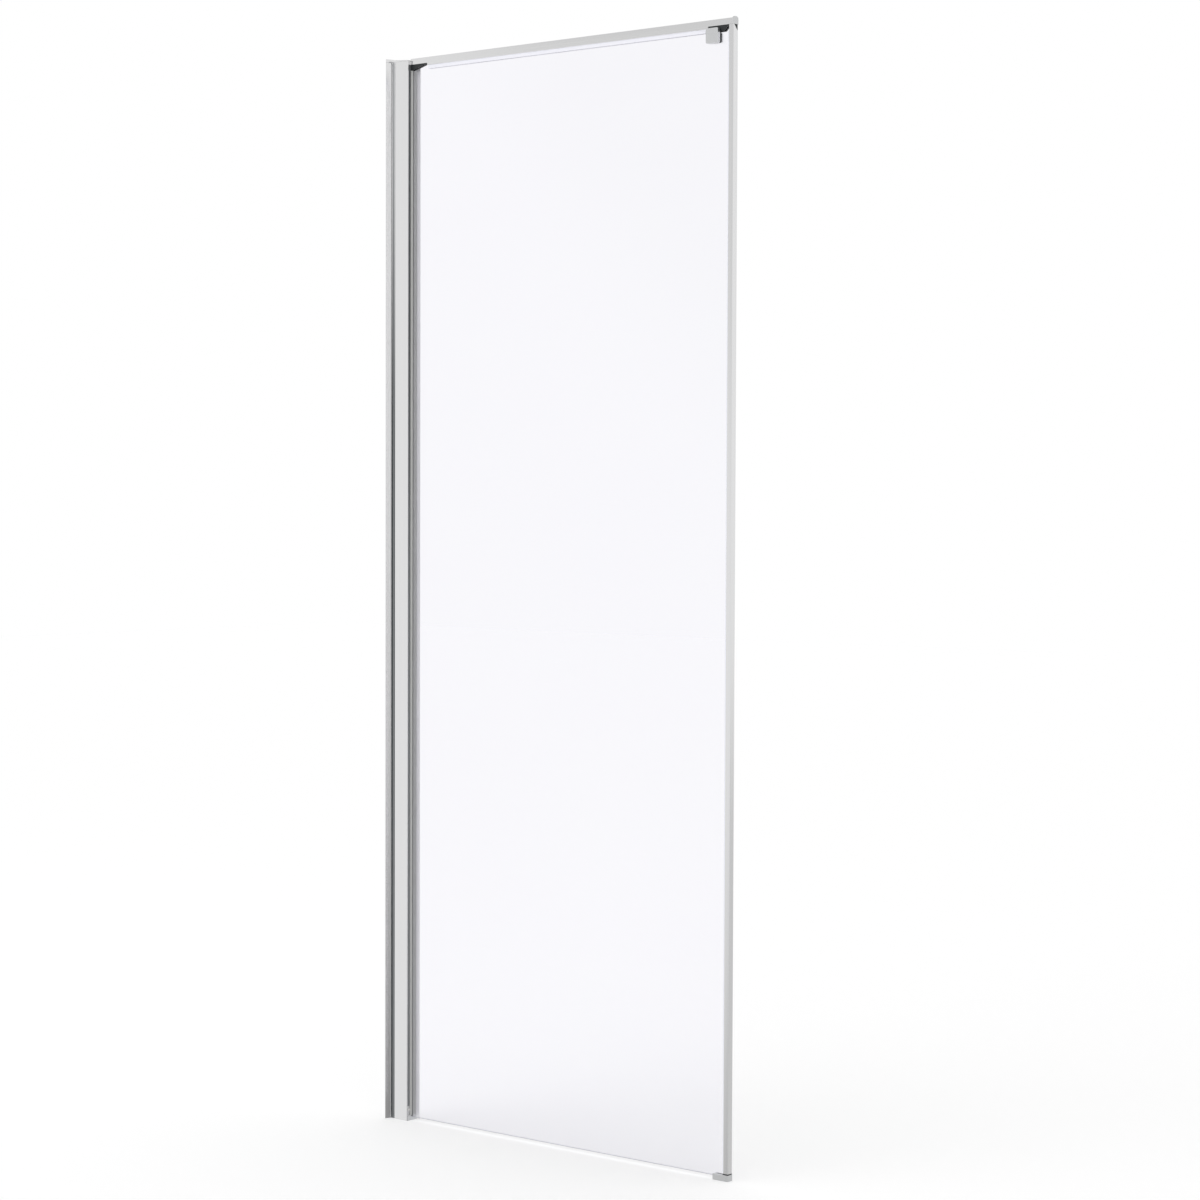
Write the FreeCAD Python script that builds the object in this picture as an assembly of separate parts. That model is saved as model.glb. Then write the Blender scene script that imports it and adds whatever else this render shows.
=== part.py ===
import FreeCAD, Part
import os

# A fixed glass side panel of a shower enclosure, in millimetres.
# X runs from the wall to the free edge, Y from the dry side to the shower side, Z up from the tray.
# The origin lies on the wall, in the middle plane of the glass, at the level of the tray.

# Overall size
PANEL_WIDTH = 800.0  # wall to the outer face of the edge post
PANEL_HEIGHT = 2000.0  # tray to the top of the rail's end cap
TRAVEL_IN = 9.5  # width adjustment towards the wall
TRAVEL_OUT = 10.5  # width adjustment away from the wall

# Clearances
SLIDE_GAP = 0.35  # between the walls that slide on each other
STOP_GAP = 0.5  # left at the end of the travel
FIT_GAP = 0.15  # round a piece that is pushed into a section
HEAD_ROOM = 0.3  # round a screw head that moves under its cover

# Glass
GLASS_THICK = 6.0
GLASS_LIFT = 6.5  # bottom edge above the tray
GLASS_ARRIS = 0.5  # ground corner along every edge
PACKER_THICK = 2.0  # packers behind the edge in the profile
PACKER_LENGTH = 60.0
PACKERS = 3
PACKER_INSET = 300.0

# Wall channel
CHANNEL_WEB = 2.5
CHANNEL_WALL = 2.0
FLANGE_PROUD = 10.0  # flange on the wall, beyond the profile's side
FLANGE_EDGE = 0.8
FLANGE_ROOT = 5.0  # thickness where the flange meets the side wall
GROOVES = 2  # in each side wall, the first at the root of the flange
GROOVE_PITCH = 5.5
GROOVE_WIDTH = 3.0
GROOVE_DEPTH = 1.3
WALL_HOLE_RADIUS = 2.75
WALL_HOLE_INSET = 150.0
WALL_HOLES = 4
CHANNEL_CAP_PLATE = 6.5
CHANNEL_CAP_PLUG = 10.0
CAP_SINK = 0.5  # channel top below the profile's cap plate

# Screws that lock the width
LOCK_SCREWS = 3
LOCK_INSET = 300.0
LOCK_RADIUS = 1.75
LOCK_TIP = 2.25  # screw beyond the channel's wall
LOCK_HEAD_RADIUS = 3.5
LOCK_HEAD_HEIGHT = 2.0
SLOT_GAP = 0.4  # round the screw in the profile's slot
COVER_WALL = 1.1
COVER_ROOF = 1.2
COVER_MARGIN = 0.3  # profile edge to the cover
COVER_ROUND = 0.7

# Adjusting profile
PROFILE_DEPTH = 28.0
PROFILE_WALL = 1.5
PROFILE_ROUND = 1.0
PROFILE_LAND = 2.4  # cover to the profile's glass side
PROFILE_FIN = 6.0  # fin along the glass on the shower side
FIN_FLARE = 3.5  # the fin leans away from the glass
POCKET_DEPTH = 14.0
GASKET_THICK = 2.5
GASKET_LIP = 3.0
GASKET_REAR_LIP = 1.6
GASKET_LIP_THICK = 0.8
GASKET_FLAP = 1.2  # over the profile's glass side
SEAL_RECESS = 1.7
SEAL_PROUD = 0.6
CAP_PLATE = 4.0
CAP_FALL = 3.2  # slope of the cover, from the wall to the tip of the fin
CAP_BOSS = 2.0

# Plug at the profile's foot
PLUG_HEIGHT = 10.0
PLUG_FLANGE = 1.5
EAR_HEIGHT = 28.0
PLUG_SCREW_DROP = 7.0  # below the top of the ear
PLUG_SCREW_RADIUS = 1.2
PLUG_SCREW_TIP = 0.2  # screw beyond the profile's wall
PLUG_HEAD_RADIUS = 2.5
PLUG_HEAD_HEIGHT = 1.5

# Top rail
RAIL_WALL = 1.4
RAIL_ROOF = 2.0
RAIL_FLANGE = 15.0
RAIL_ROUND = 0.9
RAIL_SEAL_THICK = 2.6
RAIL_HEAD_GAP = 2.5  # glass edge to the rail's roof
SEAL_DROP = 6.5  # seals and saddles below the flange
SEAL_TIP = 0.6
NOTCH_HEIGHT = 4.0
SADDLE_REACH = 42.0
WALL_TAPER = 38.0  # slanted end of the saddle at the wall
POST_TAPER = 12.0  # and of the one at the post
SADDLE_LEG = 3.0
RAIL_SCREW_RADIUS = 1.4
RAIL_HEAD_RADIUS = 2.5
RAIL_HEAD_HEIGHT = 1.5
RAIL_SCREW_INSET = 9.0
END_CAP_THICK = 2.5
END_CAP_PROUD = 2.5
END_CAP_OVERHANG = 0.4
END_CAP_ROUND = 5.0

# Glass clamp
CLAMP_SIZE = 26.0
CLAMP_THICK = 7.0
CLAMP_PAD = 4.5
CLAMP_ROUND = 3.0
CLAMP_EDGE_ROUND = 0.8
CLAMP_FROM_EDGE = 28.0  # panel edge to the clamp
CLAMP_TOP_GAP = 4.0  # saddle seen above the plate
PAD_INSET = 0.6
REAR_MARGIN = 0.5  # saddle to the rear plate
BUSH_RADIUS = 6.0
BOSS_RADIUS = 4.2
BOSS_SHORT = 0.5
CLAMP_SCREW_RADIUS = 2.5
CLAMP_HEAD_RADIUS = 5.0
CLAMP_HEAD_HEIGHT = 2.5
CLAMP_THREAD = 6.0  # screw's reach into the boss
REAR_PAD_THICK = 1.2
REAR_LENGTH = 20.0
REAR_HEIGHT = 17.0
REAR_THICK = 4.0

# Edge post and its foot
POST_WIDTH = 10.0
POST_WALL = 1.3
POST_WEB = 1.5
POST_ROUND = 0.6
POST_GASKET_THICK = 1.7
POST_GASKET_FLOOR = 1.0
POST_GASKET_LIP = 4.0
POST_LIP_THICK = 0.9
POST_PLUG_DROP = 10.5
FOOT_LENGTH = 32.5
FOOT_HEIGHT = 11.0
FOOT_MARGIN = 1.0  # foot wider than the post on each side
FOOT_ROUND = 0.8
FOOT_FLOOR = 3.0
FOOT_GASKET = 2.0
GRUB_RADIUS = 1.25
GRUB_SPACING = 12.0
GRUB_SOCKET = 0.65

# Largest round on an edge, as a share of the wall
ROUND_SHARE = 0.8

# Cross recess in the screw heads
RECESS_DEPTH = 0.6
RECESS_SHARE = 0.7  # arm length as a share of the head
RECESS_SLIM = 4.0  # arm length to its width

# Places that follow from the sizes above
FRAME_TOP = PANEL_HEIGHT - END_CAP_PROUD
GLASS_HALF = GLASS_THICK / 2
HALF_TRAVEL = (TRAVEL_IN + TRAVEL_OUT) / 2
COVER_LENGTH = 2 * (HALF_TRAVEL + LOCK_HEAD_RADIUS + HEAD_ROOM + COVER_WALL)
COVER_HEIGHT = 2 * (LOCK_HEAD_RADIUS + HEAD_ROOM + COVER_WALL)
COVER_DEPTH = LOCK_HEAD_HEIGHT + HEAD_ROOM + COVER_ROOF
PROFILE_LEFT = FLANGE_ROOT + TRAVEL_IN + STOP_GAP
PROFILE_RIGHT = PROFILE_LEFT + COVER_MARGIN + COVER_LENGTH + PROFILE_LAND
PROFILE_HALF = PROFILE_DEPTH / 2
PROFILE_INNER = PROFILE_HALF - PROFILE_WALL
PROFILE_TOP = FRAME_TOP - CAP_PLATE
SLOT_X = PROFILE_LEFT + COVER_MARGIN + COVER_LENGTH / 2
LOCK_X = SLOT_X + (TRAVEL_OUT - TRAVEL_IN) / 2
LOCK_LENGTH = PROFILE_WALL + SLIDE_GAP + CHANNEL_WALL + LOCK_TIP
PLUG_SCREW_LENGTH = SEAL_RECESS + PROFILE_WALL + PLUG_SCREW_TIP
FIN_RIGHT = PROFILE_RIGHT + PROFILE_FIN
FIN_BACK = PROFILE_HALF + FIN_FLARE
POCKET_HALF = GLASS_HALF + GASKET_THICK
POCKET_OUTER = POCKET_HALF + PROFILE_WALL
POCKET_FLOOR = PROFILE_RIGHT - POCKET_DEPTH
LIP_INNER = PROFILE_RIGHT - SEAL_RECESS - PROFILE_WALL
CHANNEL_HALF = PROFILE_INNER - SLIDE_GAP
CHANNEL_INNER = CHANNEL_HALF - CHANNEL_WALL
CHANNEL_DEPTH = LIP_INNER - TRAVEL_IN - STOP_GAP
CHANNEL_TOP = PROFILE_TOP - CAP_SINK
FLANGE_HALF = PROFILE_HALF + FLANGE_PROUD
POST_LEFT = PANEL_WIDTH - POST_WIDTH
POST_INNER = GLASS_HALF + POST_GASKET_THICK
POST_HALF = POST_INNER + POST_WALL
POST_FLOOR = PANEL_WIDTH - POST_WEB
RAIL_INNER = GLASS_HALF + RAIL_SEAL_THICK
RAIL_HALF = RAIL_INNER + RAIL_WALL
SADDLE_HALF = GLASS_HALF + SADDLE_LEG
RAIL_RIGHT = PANEL_WIDTH - END_CAP_THICK
RAIL_CEILING = FRAME_TOP - RAIL_ROOF
FLANGE_BOTTOM = FRAME_TOP - RAIL_FLANGE
NOTCH_TOP = FLANGE_BOTTOM + NOTCH_HEIGHT
SADDLE_BOTTOM = FLANGE_BOTTOM - SEAL_DROP
GLASS_LEFT = POCKET_FLOOR + PACKER_THICK
GLASS_RIGHT = POST_FLOOR - POST_GASKET_FLOOR
GLASS_TOP = RAIL_CEILING - RAIL_HEAD_GAP
CLAMP_RIGHT = PANEL_WIDTH - CLAMP_FROM_EDGE
CLAMP_LEFT = CLAMP_RIGHT - CLAMP_SIZE
CLAMP_TOP = NOTCH_TOP - CLAMP_TOP_GAP
CLAMP_BOTTOM = CLAMP_TOP - CLAMP_SIZE
PLATE_BACK = -GLASS_HALF - CLAMP_PAD
BOLT_X = (CLAMP_LEFT + CLAMP_RIGHT) / 2
REAR_TOP = SADDLE_BOTTOM - REAR_MARGIN
BOLT_Z = REAR_TOP - REAR_HEIGHT / 2
SADDLE_END = PROFILE_RIGHT + SADDLE_REACH
FOOT_LEFT = PANEL_WIDTH - FOOT_LENGTH
FOOT_HALF = POST_HALF + FOOT_MARGIN
GRUB_Z = (GLASS_LIFT + FOOT_HEIGHT) / 2
POST_BOTTOM = FOOT_HEIGHT + FOOT_GASKET
SLOT_HALF = GLASS_HALF + FIT_GAP

V = FreeCAD.Vector
ALONG = V(1, 0, 0)
ACROSS = V(0, 1, 0)
UP = V(0, 0, 1)


def box(x, y, z):
    """A block between the two values given for each direction."""
    return Part.makeBox(x[1] - x[0], y[1] - y[0], z[1] - z[0], V(x[0], y[0], z[0]))


def upright(outline, low, high):
    """An outline in plan, standing from low to high."""
    corners = [V(x, y, low) for x, y in outline]
    face = Part.Face(Part.makePolygon(corners + corners[:1]))
    return face.extrude(V(0, 0, high - low))


def along(outline, left, right):
    """An outline of Y and Z, running along the panel from left to right."""
    corners = [V(left, y, z) for y, z in outline]
    face = Part.Face(Part.makePolygon(corners + corners[:1]))
    return face.extrude(V(right - left, 0, 0))


def crosswise(outline, half):
    """An outline of X and Z, running across the panel between -half and half."""
    corners = [V(x, -half, z) for x, z in outline]
    face = Part.Face(Part.makePolygon(corners + corners[:1]))
    return face.extrude(V(0, 2 * half, 0))


def other_side(shape):
    """The same piece on the other face of the glass."""
    return shape.mirror(V(), ACROSS)


def rod(radius, start, way, length):
    """A round bar from start, in the direction given."""
    return Part.makeCylinder(radius, length, start, way)


def obround(x, z, run, radius, y):
    """A slot shape lying along X, between two values of Y."""
    left, right = V(x - run, y[0], z), V(x + run, y[0], z)
    up, side = V(0, 0, radius), V(radius, 0, 0)
    edges = [
        Part.LineSegment(left - up, right - up).toShape(),
        Part.Arc(right - up, right + side, right + up).toShape(),
        Part.LineSegment(right + up, left + up).toShape(),
        Part.Arc(left + up, left - side, left - up).toShape(),
    ]
    return Part.Face(Part.Wire(edges)).extrude(V(0, y[1] - y[0], 0))


def runs(edge, way):
    """True where an edge runs in the direction given."""
    span = edge.Vertexes[-1].Point - edge.Vertexes[0].Point
    return span.cross(way).Length < 1e-6


def rounded(shape, radius, wanted, way=None):
    """Round the edges whose ends pass the test and which run in the direction given, if any."""
    edges = [e for e in shape.Edges if all(wanted(v.Point) for v in e.Vertexes)]
    if way:
        edges = [e for e in edges if runs(e, way)]
    return shape.makeFillet(radius, edges)


def same(a, b):
    """True where two lengths are one and the same."""
    return abs(a - b) < 1e-6


def cross_recess(head_radius, top):
    """The cutter for a cross recess in a head whose top is at the height given."""
    long = head_radius * RECESS_SHARE
    short = long / RECESS_SLIM
    depth = (top - RECESS_DEPTH, top)
    one = box((-long, long), (-short, short), depth)
    return one.fuse(box((-short, short), (-long, long), depth))


def pan_screw(radius, length, head_radius, head_height, at, way):
    """A pan-head screw whose head sits on the point given and whose tip points the way given."""
    head = rod(head_radius, V(), UP, head_height)
    head = rounded(head, head_height / 2, lambda p: same(p.z, head_height))
    shank = rod(radius, V(0, 0, -length), UP, length)
    screw = head.fuse(shank).cut(cross_recess(head_radius, head_height)).removeSplitter()
    return placed(screw, at, way)


def placed(shape, at, way):
    """Turn a piece drawn with its tip downwards so that the tip points the way given."""
    turn = FreeCAD.Rotation(-UP, way)
    copy = shape.copy()
    copy.Placement = FreeCAD.Placement(at, turn)
    return copy


def spread(count, low, high):
    """Evenly spaced values, the first at low and the last at high."""
    return [low + i * (high - low) / (count - 1) for i in range(count)]


def lock_heights():
    """Heights of the screws that lock the width."""
    return spread(LOCK_SCREWS, LOCK_INSET, PANEL_HEIGHT - LOCK_INSET)


def wall_channel():
    """The channel on the wall: a web with slanted flanges and two grooved side walls."""
    half = [(0, -FLANGE_HALF), (FLANGE_EDGE, -FLANGE_HALF)]
    for i in range(GROOVES):
        left = FLANGE_ROOT + i * GROOVE_PITCH
        half += [
            (left, -CHANNEL_HALF),
            (left + GROOVE_WIDTH / 2, -CHANNEL_HALF + GROOVE_DEPTH),
            (left + GROOVE_WIDTH, -CHANNEL_HALF),
        ]
    half += [
        (CHANNEL_DEPTH, -CHANNEL_HALF),
        (CHANNEL_DEPTH, -CHANNEL_INNER),
        (CHANNEL_WEB, -CHANNEL_INNER),
    ]
    shape = upright(half + [(x, -y) for x, y in reversed(half)], 0, CHANNEL_TOP)
    for z in spread(WALL_HOLES, WALL_HOLE_INSET, PANEL_HEIGHT - WALL_HOLE_INSET):
        shape = shape.cut(rod(WALL_HOLE_RADIUS, V(0, 0, z), ALONG, CHANNEL_WEB))
    for z in lock_heights():
        shape = shape.cut(rod(LOCK_RADIUS, V(LOCK_X, CHANNEL_INNER, z), ACROSS, CHANNEL_WALL))
    return shape


def channel_top_cap():
    """The cap on the channel: a plate over the flanges and a plug between the side walls."""
    outline = [(0, -FLANGE_HALF), (FLANGE_EDGE, -FLANGE_HALF), (FLANGE_ROOT, -CHANNEL_HALF)]
    outline += [(x, -y) for x, y in reversed(outline)]
    plate = upright(outline, CHANNEL_TOP, CHANNEL_TOP + CHANNEL_CAP_PLATE)
    half = CHANNEL_INNER - FIT_GAP
    depth = (CHANNEL_TOP - CHANNEL_CAP_PLUG, CHANNEL_TOP)
    plug = box((CHANNEL_WEB, PROFILE_LEFT), (-half, half), depth)
    return plate.fuse(plug).removeSplitter()


def adjusting_screws():
    """The screws through the profile's slots into the channel's shower-side wall."""
    screws = [
        pan_screw(
            LOCK_RADIUS,
            LOCK_LENGTH,
            LOCK_HEAD_RADIUS,
            LOCK_HEAD_HEIGHT,
            V(LOCK_X, PROFILE_HALF, z),
            -ACROSS,
        )
        for z in lock_heights()
    ]
    return Part.makeCompound(screws)


def adjusting_profile():
    """The profile over the channel: side walls, a glazing pocket, a recess for the seal and a fin."""
    right, seat = PROFILE_RIGHT, PROFILE_RIGHT - SEAL_RECESS
    outline = [
        (PROFILE_LEFT, -PROFILE_HALF),
        (right, -PROFILE_HALF),
        (right, -PROFILE_INNER),
        (seat, -PROFILE_INNER),
        (seat, -POCKET_OUTER),
        (right, -POCKET_OUTER),
        (right, -POCKET_HALF),
        (POCKET_FLOOR, -POCKET_HALF),
        (POCKET_FLOOR, POCKET_HALF),
        (right, POCKET_HALF),
        *fin_outline(),
        (PROFILE_LEFT, PROFILE_HALF),
        (PROFILE_LEFT, PROFILE_INNER),
        (right - PROFILE_WALL, PROFILE_INNER),
        (right - PROFILE_WALL, POCKET_OUTER),
        (POCKET_FLOOR - PROFILE_WALL, POCKET_OUTER),
        (POCKET_FLOOR - PROFILE_WALL, -POCKET_OUTER),
        (LIP_INNER, -POCKET_OUTER),
        (LIP_INNER, -PROFILE_INNER),
        (PROFILE_LEFT, -PROFILE_INNER),
    ]
    shape = round_front_corner(upright(outline, 0, PROFILE_TOP))
    wall = (PROFILE_INNER, PROFILE_HALF)
    for z in lock_heights():
        shape = shape.cut(obround(SLOT_X, z, HALF_TRAVEL, LOCK_RADIUS + SLOT_GAP, wall))
    hole = rod(PLUG_SCREW_RADIUS, plug_screw_seat(), -ALONG, PLUG_SCREW_LENGTH)
    return shape.cut(hole)


def fin_outline():
    """The four corners of the fin in plan."""
    right = PROFILE_RIGHT
    tip = [(FIN_RIGHT, FIN_BACK - PROFILE_WALL), (FIN_RIGHT, FIN_BACK)]
    return [(right, PROFILE_INNER), *tip, (right, PROFILE_HALF)]


def round_front_corner(shape):
    """Round the profile's front corner at the glass."""
    radius = min(PROFILE_ROUND, PROFILE_WALL * ROUND_SHARE)

    def corner(p):
        return same(p.x, PROFILE_RIGHT) and same(p.y, -PROFILE_HALF)

    return rounded(shape, radius, corner, UP)


def profile_top_cap():
    """The sloping cover on the profile, with a boss that drops into the pocket round the glass."""
    side = (-PROFILE_HALF, PROFILE_HALF)
    height = (PROFILE_TOP, FRAME_TOP)
    plate = box((PROFILE_LEFT, PROFILE_RIGHT), side, height)
    plate = plate.fuse(upright(fin_outline(), *height))
    plate = round_front_corner(plate.removeSplitter())
    half = POCKET_HALF - FIT_GAP
    reach = (POCKET_FLOOR + FIT_GAP, PROFILE_RIGHT - FIT_GAP)
    depth = (PROFILE_TOP - CAP_BOSS, PROFILE_TOP)
    boss = box(reach, (-half, half), depth)
    boss = boss.cut(box((GLASS_LEFT - FIT_GAP, PROFILE_RIGHT), (-SLOT_HALF, SLOT_HALF), depth))
    low = FRAME_TOP - CAP_FALL
    slope = crosswise([(PROFILE_LEFT, FRAME_TOP), (FIN_RIGHT, FRAME_TOP), (FIN_RIGHT, low)], FIN_BACK)
    return plate.cut(slope).fuse(boss).removeSplitter()


def plug_screw_seat():
    """Where the plug's screw head sits, on the glass side of the profile."""
    y = POCKET_OUTER + PLUG_HEAD_RADIUS + FIT_GAP
    return V(PROFILE_RIGHT, -y, EAR_HEIGHT - PLUG_SCREW_DROP)


def profile_foot_plug():
    """The plug in the pocket's foot: a base and cheeks for the glass, a flange and a screwed ear."""
    half = POCKET_HALF - FIT_GAP
    right = PROFILE_RIGHT
    base = box((POCKET_FLOOR, right), (-half, half), (0, PLUG_HEIGHT))
    wide = PROFILE_INNER - FIT_GAP
    flange = box((right, right + PLUG_FLANGE), (-wide, wide), (0, PLUG_HEIGHT))
    ear = box((right - SEAL_RECESS, right), (-wide, -POCKET_OUTER - FIT_GAP), (0, EAR_HEIGHT))
    plug = base.fuse([flange, ear])
    slot = box((POCKET_FLOOR, right + PLUG_FLANGE), (-SLOT_HALF, SLOT_HALF), (GLASS_LIFT, PLUG_HEIGHT))
    hole = rod(PLUG_SCREW_RADIUS, plug_screw_seat(), -ALONG, PLUG_SCREW_LENGTH)
    return plug.cut(slot).cut(hole).removeSplitter()


def plug_screw():
    """The screw that holds the plug's ear to the profile."""
    return pan_screw(
        PLUG_SCREW_RADIUS,
        PLUG_SCREW_LENGTH,
        PLUG_HEAD_RADIUS,
        PLUG_HEAD_HEIGHT,
        plug_screw_seat(),
        -ALONG,
    )


def front_bulb_seal():
    """The rubber line in the profile's recess, with a round nose."""
    back, nose = PROFILE_RIGHT - SEAL_RECESS, PROFILE_RIGHT + SEAL_PROUD
    front, inner = -PROFILE_INNER, -POCKET_OUTER
    a, b = V(back, front, EAR_HEIGHT), V(PROFILE_RIGHT, front, EAR_HEIGHT)
    c, d = V(PROFILE_RIGHT, inner, EAR_HEIGHT), V(back, inner, EAR_HEIGHT)
    top = V(nose, (front + inner) / 2, EAR_HEIGHT)
    edges = [
        Part.LineSegment(a, b).toShape(),
        Part.Arc(b, top, c).toShape(),
        Part.LineSegment(c, d).toShape(),
        Part.LineSegment(d, a).toShape(),
    ]
    return Part.Face(Part.Wire(edges)).extrude(V(0, 0, NOTCH_TOP - EAR_HEIGHT))


def glazing_gasket(edge, lip):
    """A wedge between pocket and glass, with a flap on the profile out to edge and a lip on the glass."""
    right = PROFILE_RIGHT
    outline = [
        (GLASS_LEFT, POCKET_HALF),
        (right, POCKET_HALF),
        (right, edge),
        (right + GASKET_FLAP, edge),
        (right + GASKET_FLAP, POCKET_HALF),
        (right + lip, GLASS_HALF + GASKET_LIP_THICK),
        (right + lip, GLASS_HALF),
        (GLASS_LEFT, GLASS_HALF),
    ]
    return upright(outline, PLUG_HEIGHT, SADDLE_BOTTOM - FIT_GAP)


def edge_packers():
    """The packers between the pocket's floor and the edge of the glass."""
    half = GLASS_HALF - FIT_GAP
    packers = [
        box((POCKET_FLOOR, GLASS_LEFT), (-half, half), (z - PACKER_LENGTH / 2, z + PACKER_LENGTH / 2))
        for z in spread(PACKERS, PACKER_INSET, PANEL_HEIGHT - PACKER_INSET)
    ]
    return Part.makeCompound(packers)


def glass_pane():
    """The pane with ground corners and one hole for the clamp."""
    sides = (-GLASS_HALF, GLASS_HALF)
    pane = box((GLASS_LEFT, GLASS_RIGHT), sides, (GLASS_LIFT, GLASS_TOP))
    pane = pane.makeChamfer(GLASS_ARRIS, pane.Edges)
    hole = rod(BUSH_RADIUS + FIT_GAP, V(BOLT_X, -GLASS_HALF, BOLT_Z), ACROSS, GLASS_THICK)
    return pane.cut(hole)


def screw_cover(z):
    """A hollow cover over one slot, with room for the head to travel."""
    run, radius = HALF_TRAVEL, COVER_HEIGHT / 2
    top = PROFILE_HALF + COVER_DEPTH
    shell = obround(SLOT_X, z, run, radius, (PROFILE_HALF, top))
    shell = rounded(shell, COVER_ROUND, lambda p: same(p.y, top))
    hollow = (PROFILE_HALF, top - COVER_ROOF)
    return shell.cut(obround(SLOT_X, z, run, radius - COVER_WALL, hollow))


def top_rail():
    """The rail over the glass: a roof and two flanges, cut away at both ends for the saddles."""
    outline = [
        (-RAIL_HALF, FLANGE_BOTTOM),
        (-RAIL_HALF, FRAME_TOP),
        (RAIL_HALF, FRAME_TOP),
        (RAIL_HALF, FLANGE_BOTTOM),
        (RAIL_INNER, FLANGE_BOTTOM),
        (RAIL_INNER, RAIL_CEILING),
        (-RAIL_INNER, RAIL_CEILING),
        (-RAIL_INNER, FLANGE_BOTTOM),
    ]
    rail = along(outline, PROFILE_RIGHT, RAIL_RIGHT)
    radius = min(RAIL_ROUND, RAIL_WALL * ROUND_SHARE)
    rail = rounded(rail, radius, lambda p: same(abs(p.y), RAIL_HALF), ALONG)
    wide = (-RAIL_HALF, RAIL_HALF)
    low = (FLANGE_BOTTOM, NOTCH_TOP)
    rail = rail.cut(box((PROFILE_RIGHT, SADDLE_END + FIT_GAP), wide, low))
    rail = rail.cut(box((CLAMP_LEFT - FIT_GAP, RAIL_RIGHT), wide, low))
    for seat in rail_screw_seats():
        rail = rail.cut(rod(RAIL_SCREW_RADIUS, seat, -ACROSS, RAIL_WALL))
    return rail


def rail_screw_seats():
    """Where the rail's screw heads sit: two on each saddle, on the shower side."""
    z = (NOTCH_TOP + GLASS_TOP) / 2
    inset = RAIL_SCREW_INSET
    places = [
        PROFILE_RIGHT + inset,
        SADDLE_END - inset,
        CLAMP_LEFT + inset,
        POST_LEFT - inset,
    ]
    return [V(x, RAIL_HALF, z) for x in places]


def rail_screws():
    """The screws through the rail's shower-side flange into the saddles."""
    length = RAIL_HALF - SLOT_HALF - FIT_GAP
    screws = [
        pan_screw(
            RAIL_SCREW_RADIUS,
            length,
            RAIL_HEAD_RADIUS,
            RAIL_HEAD_HEIGHT,
            seat,
            -ACROSS,
        )
        for seat in rail_screw_seats()
    ]
    return Part.makeCompound(screws)


def saddle(left, right):
    """A saddle over the edge of the glass, held in the rail and showing below its notch."""
    inner = RAIL_INNER - FIT_GAP
    ceiling = GLASS_TOP + FIT_GAP
    half = [
        (-SLOT_HALF, ceiling),
        (-SLOT_HALF, SADDLE_BOTTOM),
        (-SADDLE_HALF, SADDLE_BOTTOM),
        (-SADDLE_HALF, NOTCH_TOP),
        (-inner, NOTCH_TOP),
        (-inner, RAIL_CEILING - FIT_GAP),
    ]
    shape = along(half + [(-y, z) for y, z in reversed(half)], left, right)
    length = RAIL_HALF - SLOT_HALF - FIT_GAP
    for seat in rail_screw_seats():
        shape = shape.cut(rod(RAIL_SCREW_RADIUS, seat, -ACROSS, length))
    return shape


def taper(shape, tip, back):
    """Slant the underside of a saddle away from its bottom, from back to its tip."""
    return shape.cut(crosswise([(back, SADDLE_BOTTOM), (tip, SADDLE_BOTTOM), (tip, NOTCH_TOP)], RAIL_HALF))


def rail_saddle_wall():
    """The saddle at the wall end, with a slanted tip."""
    shape = saddle(PROFILE_RIGHT, SADDLE_END)
    return taper(shape, SADDLE_END, SADDLE_END - WALL_TAPER)


def rail_saddle_post():
    """The saddle behind the clamp, with a slanted end at the post."""
    shape = saddle(CLAMP_LEFT, POST_LEFT)
    return taper(shape, POST_LEFT, POST_LEFT - POST_TAPER)


def rail_seal_front():
    """The clear seal between the rail and the glass, with a drip edge below the flange."""
    low = SADDLE_BOTTOM
    outline = [
        (-GLASS_HALF, GLASS_TOP - GLASS_ARRIS),
        (-RAIL_INNER, GLASS_TOP - GLASS_ARRIS),
        (-RAIL_INNER, FLANGE_BOTTOM),
        (-GLASS_HALF - SEAL_TIP, low),
        (-GLASS_HALF, low),
    ]
    return along(outline, SADDLE_END + FIT_GAP, CLAMP_LEFT - FIT_GAP)


def rail_end_cap():
    """The cap on the rail's free end, with round shoulders and a tongue into the rail."""
    half = RAIL_HALF + END_CAP_OVERHANG
    cap = box((RAIL_RIGHT, PANEL_WIDTH), (-half, half), (NOTCH_TOP, PANEL_HEIGHT))
    shoulder = min(END_CAP_ROUND, half * ROUND_SHARE)
    cap = rounded(cap, shoulder, lambda p: same(p.z, PANEL_HEIGHT), ALONG)
    inner = RAIL_INNER - FIT_GAP
    height = (GLASS_TOP + FIT_GAP, RAIL_CEILING - FIT_GAP)
    tongue = box((POST_LEFT + FIT_GAP, RAIL_RIGHT), (-inner, inner), height)
    return cap.fuse(tongue).removeSplitter()


def clamp_front_plate():
    """The square plate with a threaded boss that reaches into the hole in the glass."""
    front = PLATE_BACK - CLAMP_THICK
    plate = box((CLAMP_LEFT, CLAMP_RIGHT), (front, PLATE_BACK), (CLAMP_BOTTOM, CLAMP_TOP))
    plate = rounded(plate, CLAMP_ROUND, lambda p: True, ACROSS)
    plate = rounded(plate, CLAMP_EDGE_ROUND, lambda p: same(p.y, front))
    length = CLAMP_PAD + GLASS_THICK - BOSS_SHORT
    boss = rod(BOSS_RADIUS, V(BOLT_X, PLATE_BACK, BOLT_Z), ACROSS, length)
    return plate.fuse(boss).cut(clamp_thread()).removeSplitter()


def clamp_thread():
    """The bore for the clamp's screw."""
    end = GLASS_HALF - BOSS_SHORT
    return rod(CLAMP_SCREW_RADIUS, V(BOLT_X, end, BOLT_Z), -ACROSS, CLAMP_THREAD)


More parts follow.
